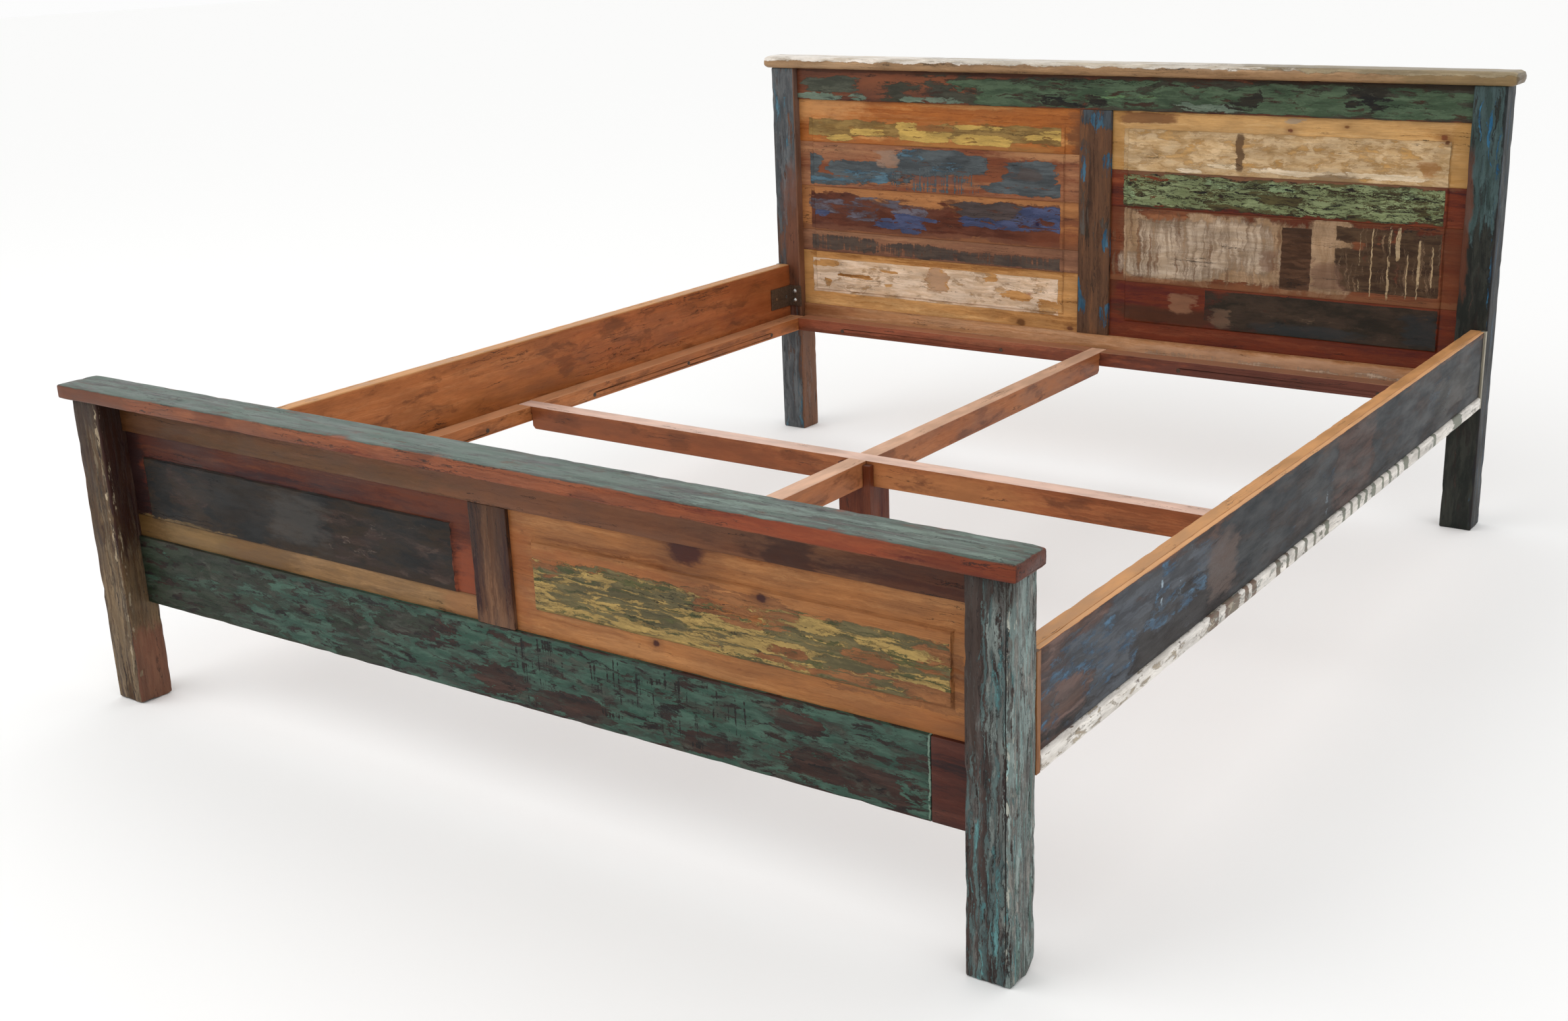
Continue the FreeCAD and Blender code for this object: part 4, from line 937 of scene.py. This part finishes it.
HEAD_RIGHT = {
    1: (((152, 110, 64), (182, 143, 94), (196, 160, 112)), [
        stain((112, 76, 52), [(0.02, 0.2, 0.76, 0.93)], 0.85, 0.6),
        stain((160, 120, 70), [(0, 0.045, 0, 1), (0.94, 1, 0, 1)], 0.6, 0.7),
        coat(((168, 138, 98), (192, 166, 130)), WHOLE, 0.74, (16, 40), clip=SAND_FIELD, mottle=(22, 40),
            soft=0.05),
        coat(((168, 130, 80), (182, 146, 98)), WHOLE, 0.44, (20, 40), clip=SAND_FIELD, soft=0.06,
            relief=-0.1),
        coat(((196, 176, 146), (210, 192, 166)), [(0.3, 0.37, 0.1, 0.16), (0.42, 0.85, 0.06, 0.14),
            (0.22, 0.27, 0, 0.06)], 0.56, (18, 60)),
        stain((98, 76, 56), [(0.372, 0.394, 0.08, 0.66)], 0.95, 0.6, 0.3),
        stain((148, 104, 62), [(0.86, 0.91, 0.14, 0.36)], 0.7, 0.7),
        stain((124, 102, 76), [(0.55, 0.71, 0, 0.1)], 0.8, 0.6),
        stain((146, 134, 118), [(0.51, 0.55, 0.84, 0.92)], 0.7, 0.5),
        knot(0.52, 0.735, 0.005, (104, 62, 46)),
        knot(0.67, 0.83, 0.004, (110, 72, 46)),
        knot(0.92, 0.72, 0.005, (112, 66, 46)),
        knot(0.93, 0.66, 0.004, (92, 60, 44)),
    ]),
    2: (((62, 34, 27), (98, 51, 37), (122, 68, 48)), [
        stain((112, 84, 64), [(0.04, 0.94, 0.88, 1)], 0.8, 0.6),
        # dark undercoat, darkened to stand for the dirt and painted shade in the cracks between the green
        # flakes
        coat(((52, 46, 34), (84, 78, 54)), [(0, 1, 0.1, 0.88)], 0.84, (14, 50), wander=0.6,
            clip=GREEN_FIELD, bare=[(0.13, 0.17, 0.05, 0.35), (0, 0.2, 0.76, 1)]),
        coat(((104, 112, 80), (128, 138, 102)), [(0, 1, 0.12, 0.86)], 0.62, (16, 60), clip=GREEN_FIELD,
            crackle=0.055, relief=0.6, bare=[(0.44, 0.56, 0.3, 0.55), (0.86, 0.9, 0.2, 0.5),
            (0.3, 0.42, 0, 0.2)]),
        coat(((128, 144, 108), (140, 158, 120)), [(0.3, 0.4, 0.66, 0.84), (0.45, 0.54, 0.66, 0.86),
            (0.8, 0.87, 0.7, 0.84), (0.05, 0.08, 0.2, 0.7)], 0.48, (16, 60), crackle=0.03),
        coat(((40, 34, 27), (54, 46, 34)), [(0, 1, 0.1, 0.86)], 0.42, (28, 120), relief=-0.5,
            clip=GREEN_FIELD),
    ]),
    3: (((88, 50, 36), (106, 66, 48), (126, 84, 62)), [
        stain((142, 96, 68), [(0.11, 0.24, 0.8, 0.93)], 0.8, 0.7),
        stain((98, 54, 36), [(0, 0.042, 0, 1), (0.94, 1, 0, 1)], 0.6, 0.7),
        coat(((136, 110, 84), (156, 130, 104)), [(0.0, 0.51, 0.06, 0.94), (0.595, 0.7, 0.04, 1)], 0.78,
            (20, 14), clip=(0.05, 0.935, -1, 2), soft=0.08, wander=0.25, mottle=(60, 7),
            bare=[(0.1, 0.24, 0.84, 1), (0.3, 0.46, 0, 0.13)]),
        coat(((158, 138, 116), (178, 160, 140)), [(0.12, 0.36, 0.4, 0.84), (0.28, 0.48, 0.3, 0.84),
            (0.06, 0.3, 0.12, 0.4)], 0.56, (60, 7), soft=0.12, relief=0.1, wander=0.25),
        coat(((118, 88, 66), (132, 102, 78)), [(0.06, 0.5, 0.1, 0.9)], 0.38, (80, 7), soft=0.08,
            relief=-0.1, wander=0.25),
        stain((112, 84, 68), [(0.46, 0.5, 0.3, 0.55)], 0.6, 0.7),
        coat(((66, 50, 41), (86, 64, 51)), WHOLE, 0.9, clip=(0.512, 0.595, 0.08, 0.88)),
        coat(((62, 49, 41), (82, 65, 51)), [(0.66, 0.8, 0.76, 0.93), (0.66, 0.74, 0.46, 0.66),
            (0.69, 1, 0.1, 0.6), (0.75, 1, 0.5, 0.76), (0.83, 0.87, 0.7, 0.95), (0.87, 1, 0.7, 0.9)], 0.66,
            (34, 10), wander=0.5, clip=COMBED_FIELD, soft=0.05),
        stain((108, 82, 68), [(0.6, 0.69, 0.1, 0.46)], 0.7, 0.8),
        coat(((112, 90, 70), (130, 106, 84)), [(0.66, 0.94, 0.12, 0.95)], 0.4, (120, 8), soft=0.05,
            relief=0.1, wander=0.3, clip=COMBED_FIELD),
        coat(((150, 128, 98), (170, 148, 118)), [(0.725, 0.727, 0.18, 0.85), (0.755, 0.758, 0.14, 0.9),
            (0.8, 0.806, 0.14, 0.98), (0.85, 0.853, 0.12, 0.66), (0.878, 0.884, 0.14, 0.78),
            (0.914, 0.917, 0.3, 0.75), (0.82, 0.83, 0.6, 0.95)], 0.56, (60, 16), wander=0.12, fray=0.5,
            relief=0.5),
        stain((116, 78, 56), [(0, 1, 0, 0.08)], 0.7, 0.7),
    ]),
    4: (((80, 42, 31), (100, 52, 38), (114, 64, 47)), [
        stain((72, 50, 40), [(0.02, 0.34, 0.35, 0.62)], 0.85, 0.9),
        stain((88, 54, 40), [(0, 0.04, 0.7, 1)], 0.7, 0.9),
        coat(((48, 44, 39), (64, 54, 47)), [(0.36, 1, 0.2, 1)], 0.86, (10, 24), soft=0.1, wander=0.6,
            clip=(0.3, 0.938, 0.345, 0.97), mottle=(9, 22)),
        stain((50, 54, 56), [(0.45, 0.72, 0.36, 0.55), (0.85, 0.94, 0.4, 0.9)], 0.6, 0.9),
        coat(((80, 66, 54), (94, 78, 64)), [(0.4, 0.85, 0.4, 0.95)], 0.36, (16, 34), soft=0.08, relief=0.05),
        stain((124, 90, 70), [(0.2, 0.275, 0.56, 0.86)], 0.85, 0.7),
        stain((100, 80, 66), [(0.325, 0.375, 0.4, 0.68)], 0.75, 0.7),
    ]),
}
for number, (timber, layers) in HEAD_RIGHT.items():
    name = "head_right_panel_plank_%d" % number
    plank(name, timber, layers, HEAD_BORDER, open_low=number == 4, open_high=number == 1)

# ---------------------------------------------------------------- sides
RAIL_WOOD = ((142, 86, 53), (164, 103, 65), (180, 120, 79))
NAVY = ((44, 47, 50), (58, 60, 62))
BLUE = ((58, 82, 104), (80, 108, 130))
FLAKES = [(0.27, 0.285), (0.3, 0.326), (0.338, 0.346), (0.352, 0.362), (0.405, 0.414), (0.428, 0.434),
    (0.446, 0.452), (0.47, 0.476), (0.49, 0.496), (0.52, 0.53), (0.563, 0.57), (0.584, 0.59), (0.604, 0.61),
    (0.622, 0.63), (0.642, 0.652), (0.67, 0.676), (0.692, 0.698), (0.716, 0.722), (0.738, 0.75),
    (0.78, 0.786), (0.83, 0.84), (0.9, 0.93)]
RAIL_FACE = (-1, 2, -1, 0.984)
for side in ("left", "right"):
    rail = "side_rail_" + side
    worn_board(rail, "y", RAIL_WOOD, [
        stain((148, 96, 58), [(0.3, 0.6, 0, 0.5)], 0.5, 1.4),
        stain((150, 84, 56), [(0.55, 0.9, 0.4, 1)], 0.5, 1.4),
        stain((140, 78, 52), [(0.86, 1, 0, 1)], 0.6, 1.2),
        stain((112, 66, 48), [(0.13, 0.2, 0.1, 0.9)], 0.6, 1.2),
        coat(((128, 78, 52), (138, 86, 56)), WHOLE, 0.38, (9, 24), soft=0.12, relief=0.0),
        # painted highlight: a pale strip along the rail's top edge
        stain((196, 148, 100), [(0, 1, 0.985, 1)], 0.75, 0.2, 0.1),
    ], PLANED)
    worn_board(rail + "_face_board", "y", RAIL_WOOD, [
        coat(((62, 49, 45), (90, 70, 62)), WHOLE, 0.98, (6, 40), mottle=(6, 60), edge=0.0, relief=0.0,
            clip=RAIL_FACE),
        coat(((90, 72, 67), (106, 86, 80)), [(0, 0.14, 0, 1)], 0.5, (8, 50), soft=0.1, edge=0.0, relief=0.0,
            clip=RAIL_FACE),
        coat(NAVY, [(0.31, 0.56, -0.2, 1.2), (0.6, 1, -0.2, 1.2)], 0.84, (6, 26), mottle=(5, 24), soft=0.07,
            edge=0.0, clip=RAIL_FACE),
        coat(((64, 52, 49), (80, 64, 59)), [(0.55, 0.64, -0.2, 1.2)], 0.7, (7, 26), soft=0.1, edge=0.0,
            clip=RAIL_FACE),
        coat(((54, 50, 49), (68, 61, 58)), [(0.3, 1, 0, 1)], 0.44, (9, 30), clip=RAIL_FACE, **FILM),
        coat(((62, 64, 68), (80, 84, 90)), [(0.04, 0.28, 0.0, 0.9)], 0.7, (8, 36), soft=0.08,
            bare=[(0.02, 0.075, 0.1, 0.5)], edge=0.0, clip=RAIL_FACE),
        coat(((46, 44, 44), (58, 56, 56)), [(0.15, 0.3, 0.0, 0.5)], 0.56, (9, 30), soft=0.08, edge=0.0,
            clip=RAIL_FACE),
        coat(BLUE, [(0.02, 0.1, 0.5, 0.78), (0.07, 0.14, 0.2, 0.5), (0.17, 0.25, 0.34, 0.56),
            (0.18, 0.2, 0.4, 0.9), (0.25, 0.27, 0.6, 0.85), (0, 0.04, 0, 0.2)], 0.46, (22, 50), fray=0.22,
            soft=0.07),
        coat(((84, 122, 148), (110, 146, 168)), [(0.03, 0.1, 0.54, 0.76), (0.08, 0.14, 0.26, 0.5)], 0.34,
            (26, 80)),
        coat(((52, 68, 82), (64, 86, 102)), [(0.36, 0.42, 0.45, 0.7), (0.42, 0.5, 0.2, 0.5),
            (0.5, 0.54, 0.3, 0.7), (0.82, 0.88, 0.4, 0.7)], 0.38, (16, 50), soft=0.08),
        coat(((120, 136, 148), (146, 160, 170)), [(0.184, 0.1865, 0.35, 0.92), (0.215, 0.219, 0.4, 0.7),
            (0.525, 0.529, 0.1, 0.36)], 0.46, (30, 60), wander=0.15, fray=0.6),
        stain((98, 84, 78), [(0.27, 0.325, 0.1, 0.8)], 0.7, 0.9),
        stain((70, 68, 65), [(0.84, 0.96, 0.2, 0.7)], 0.6, 1.2),
        coat(((40, 38, 38), (50, 46, 44)), [(0.02, 1, 0.0, 0.16)], 0.46, (9, 60), soft=0.08, relief=0.0),
        coat(((90, 66, 53), (106, 80, 65)), [(0, 1, 0.93, 1)], 0.44, (9, 60), clip=RAIL_FACE, **FILM),
        # bare top edge, lightened into a painted highlight
        stain((208, 160, 114), [(0, 1, 0.99, 1)], 0.8, 0.2, 0.05),
    ], dict(dirt=0.1), chips=0.001)
    worn_board(rail + "_moulding", "y", ((92, 74, 64), (118, 96, 84), (140, 120, 106)), [
        stain((122, 128, 116), [(0.38, 1, 0, 1)], 0.85, 1.2),
        coat(((196, 190, 182), (224, 219, 212)), WHOLE, 0.64, (24, 40), edge=0.0, relief=0.9, wander=0.2,
            bare=[(s0, s1, -1, 2) for s0, s1 in FLAKES]),
        coat(((150, 138, 122), (178, 166, 148)), [(0, 0.27, 0, 1)], 0.44, (36, 80), relief=-0.3),
        coat(((150, 152, 144), (172, 172, 164)), [(0.4, 1, 0, 1)], 0.4, (30, 60), relief=-0.2),
    ], radius=0.005)
    sawn_board(rail + "_end_strips", "z", ((112, 74, 48), (140, 98, 66), (158, 118, 84)), [
        coat(((136, 130, 114), (158, 150, 134)), [(0, 1, 0, 1, 0.5, 1)], 0.66),
    ], width=0.001)
    sawn_board("ledger_" + side, "y", RAIL_WOOD, [
        coat(((136, 84, 54), (146, 92, 60)), WHOLE, 0.4, (9, 24), soft=0.12, relief=0.0),
        # painted highlight: a pale strip along the ledger's top edge
        stain((196, 144, 108), [(0, 1, 0.975, 1)], 0.85, 0.2, 0.1),
    ], PLANED)
sawn_board("ledger_head", "x", ((102, 58, 42), (132, 76, 57), (150, 94, 69)), [
    stain((86, 50, 40), [(0.2, 0.48, 0, 0.7)], 0.5, 1.2),
    stain((88, 58, 52), [(0.5, 1, 0, 1)], 0.85, 0.9),
    # painted highlight: a pale strip along the ledger's top edge
    stain((170, 126, 98), [(0, 1, 0.975, 1)], 0.55, 0.2, 0.1),
], PLANED)
sawn_board("ledger_foot", "x", RAIL_WOOD, look=PLANED)

# ---------------------------------------------------------------- centre support
BEAM_WOOD = ((130, 78, 53), (152, 96, 65), (168, 113, 78))
sawn_board("long_beam", "y", BEAM_WOOD, [
    stain((166, 112, 78), [(0.36, 0.6, 0, 1), (0.76, 0.9, 0, 1)], 0.6, 1.4),
    stain((108, 66, 48), [(0.5, 0.53, 0.3, 1), (0.69, 0.71, 0.4, 1)], 0.5, 1.2),
    coat(((122, 74, 52), (132, 82, 58)), WHOLE, 0.38, (9, 24), soft=0.12, relief=0.0),
    # painted highlight: a pale, ragged strip along the beam's top edge
    stain((214, 176, 150), [(0, 1, 0.98, 1)], 0.85, 0.2, 0.1),
], PLANED)
sawn_board("cross_beam", "x", BEAM_WOOD, [
    stain((126, 76, 54), [(0, 0.5, 0, 0.95)], 0.8, 0.7),
    stain((100, 64, 48), [(0.06, 0.1, 0.2, 1), (0.24, 0.27, 0.2, 0.9)], 0.5, 1.2),
    stain((168, 114, 74), [(0.52, 0.72, 0, 0.95)], 0.7, 1.2),
    coat(((122, 74, 52), (132, 82, 58)), WHOLE, 0.36, (9, 24), soft=0.12, relief=0.0),
    # painted highlight: a pale, ragged strip along the beam's top edge
    stain((222, 192, 176), [(0, 1, 0.98, 1)], 0.85, 0.2, 0.1),
], PLANED)
sawn_board("centre_leg", "z", ((76, 42, 33), (98, 56, 43), (114, 68, 52)), look=dict(gloss=0.42))


# ---------------------------------------------------------------- metal and dowels
def metal(name, colour, roughness, metallic):
    shade = Shade(name)
    place = shade.make("ShaderNodeTexCoord", {}, "Object")
    grain = shade.grain(place, (180, 180), 3, detail=5)
    dark = tuple(0.6 * part for part in colour[:3]) + (1.0,)
    tint = shade.mix(shade.ease(grain, 0.35, 0.65), colour, dark)
    wear = shade.ease(grain, 0.3, 0.7, roughness - 0.08, roughness + 0.12)
    bump = shade.make("ShaderNodeBump", {"Strength": 0.4, "Distance": 0.0004, "Height": grain})
    return shade.close({"Base Color": tint, "Metallic": metallic, "Roughness": wear, "Normal": bump})


bracket_paint = metal("bracket_paint", seen((86, 70, 58)), 0.5, 0.0)
bright_steel = metal("bright_steel", srgb(200, 200, 196), 0.28, 1.0)
dark_steel = metal("dark_steel", srgb(84, 66, 54), 0.5, 0.6)
for end in ("foot", "head"):
    for side in ("left", "right"):
        bracket = "corner_bracket_%s_%s" % (end, side)
        paint_node(bracket, bracket_paint)
        soften_node(bracket, 0.0007)
paint_node("bracket_bolts", bright_steel)
paint_node("bracket_screws", bright_steel)
paint_node("ledger_screws", dark_steel)
paint_node("cap_dowels", finish("cap_dowels", "z", ((96, 74, 52), (132, 104, 72), (162, 132, 96))))
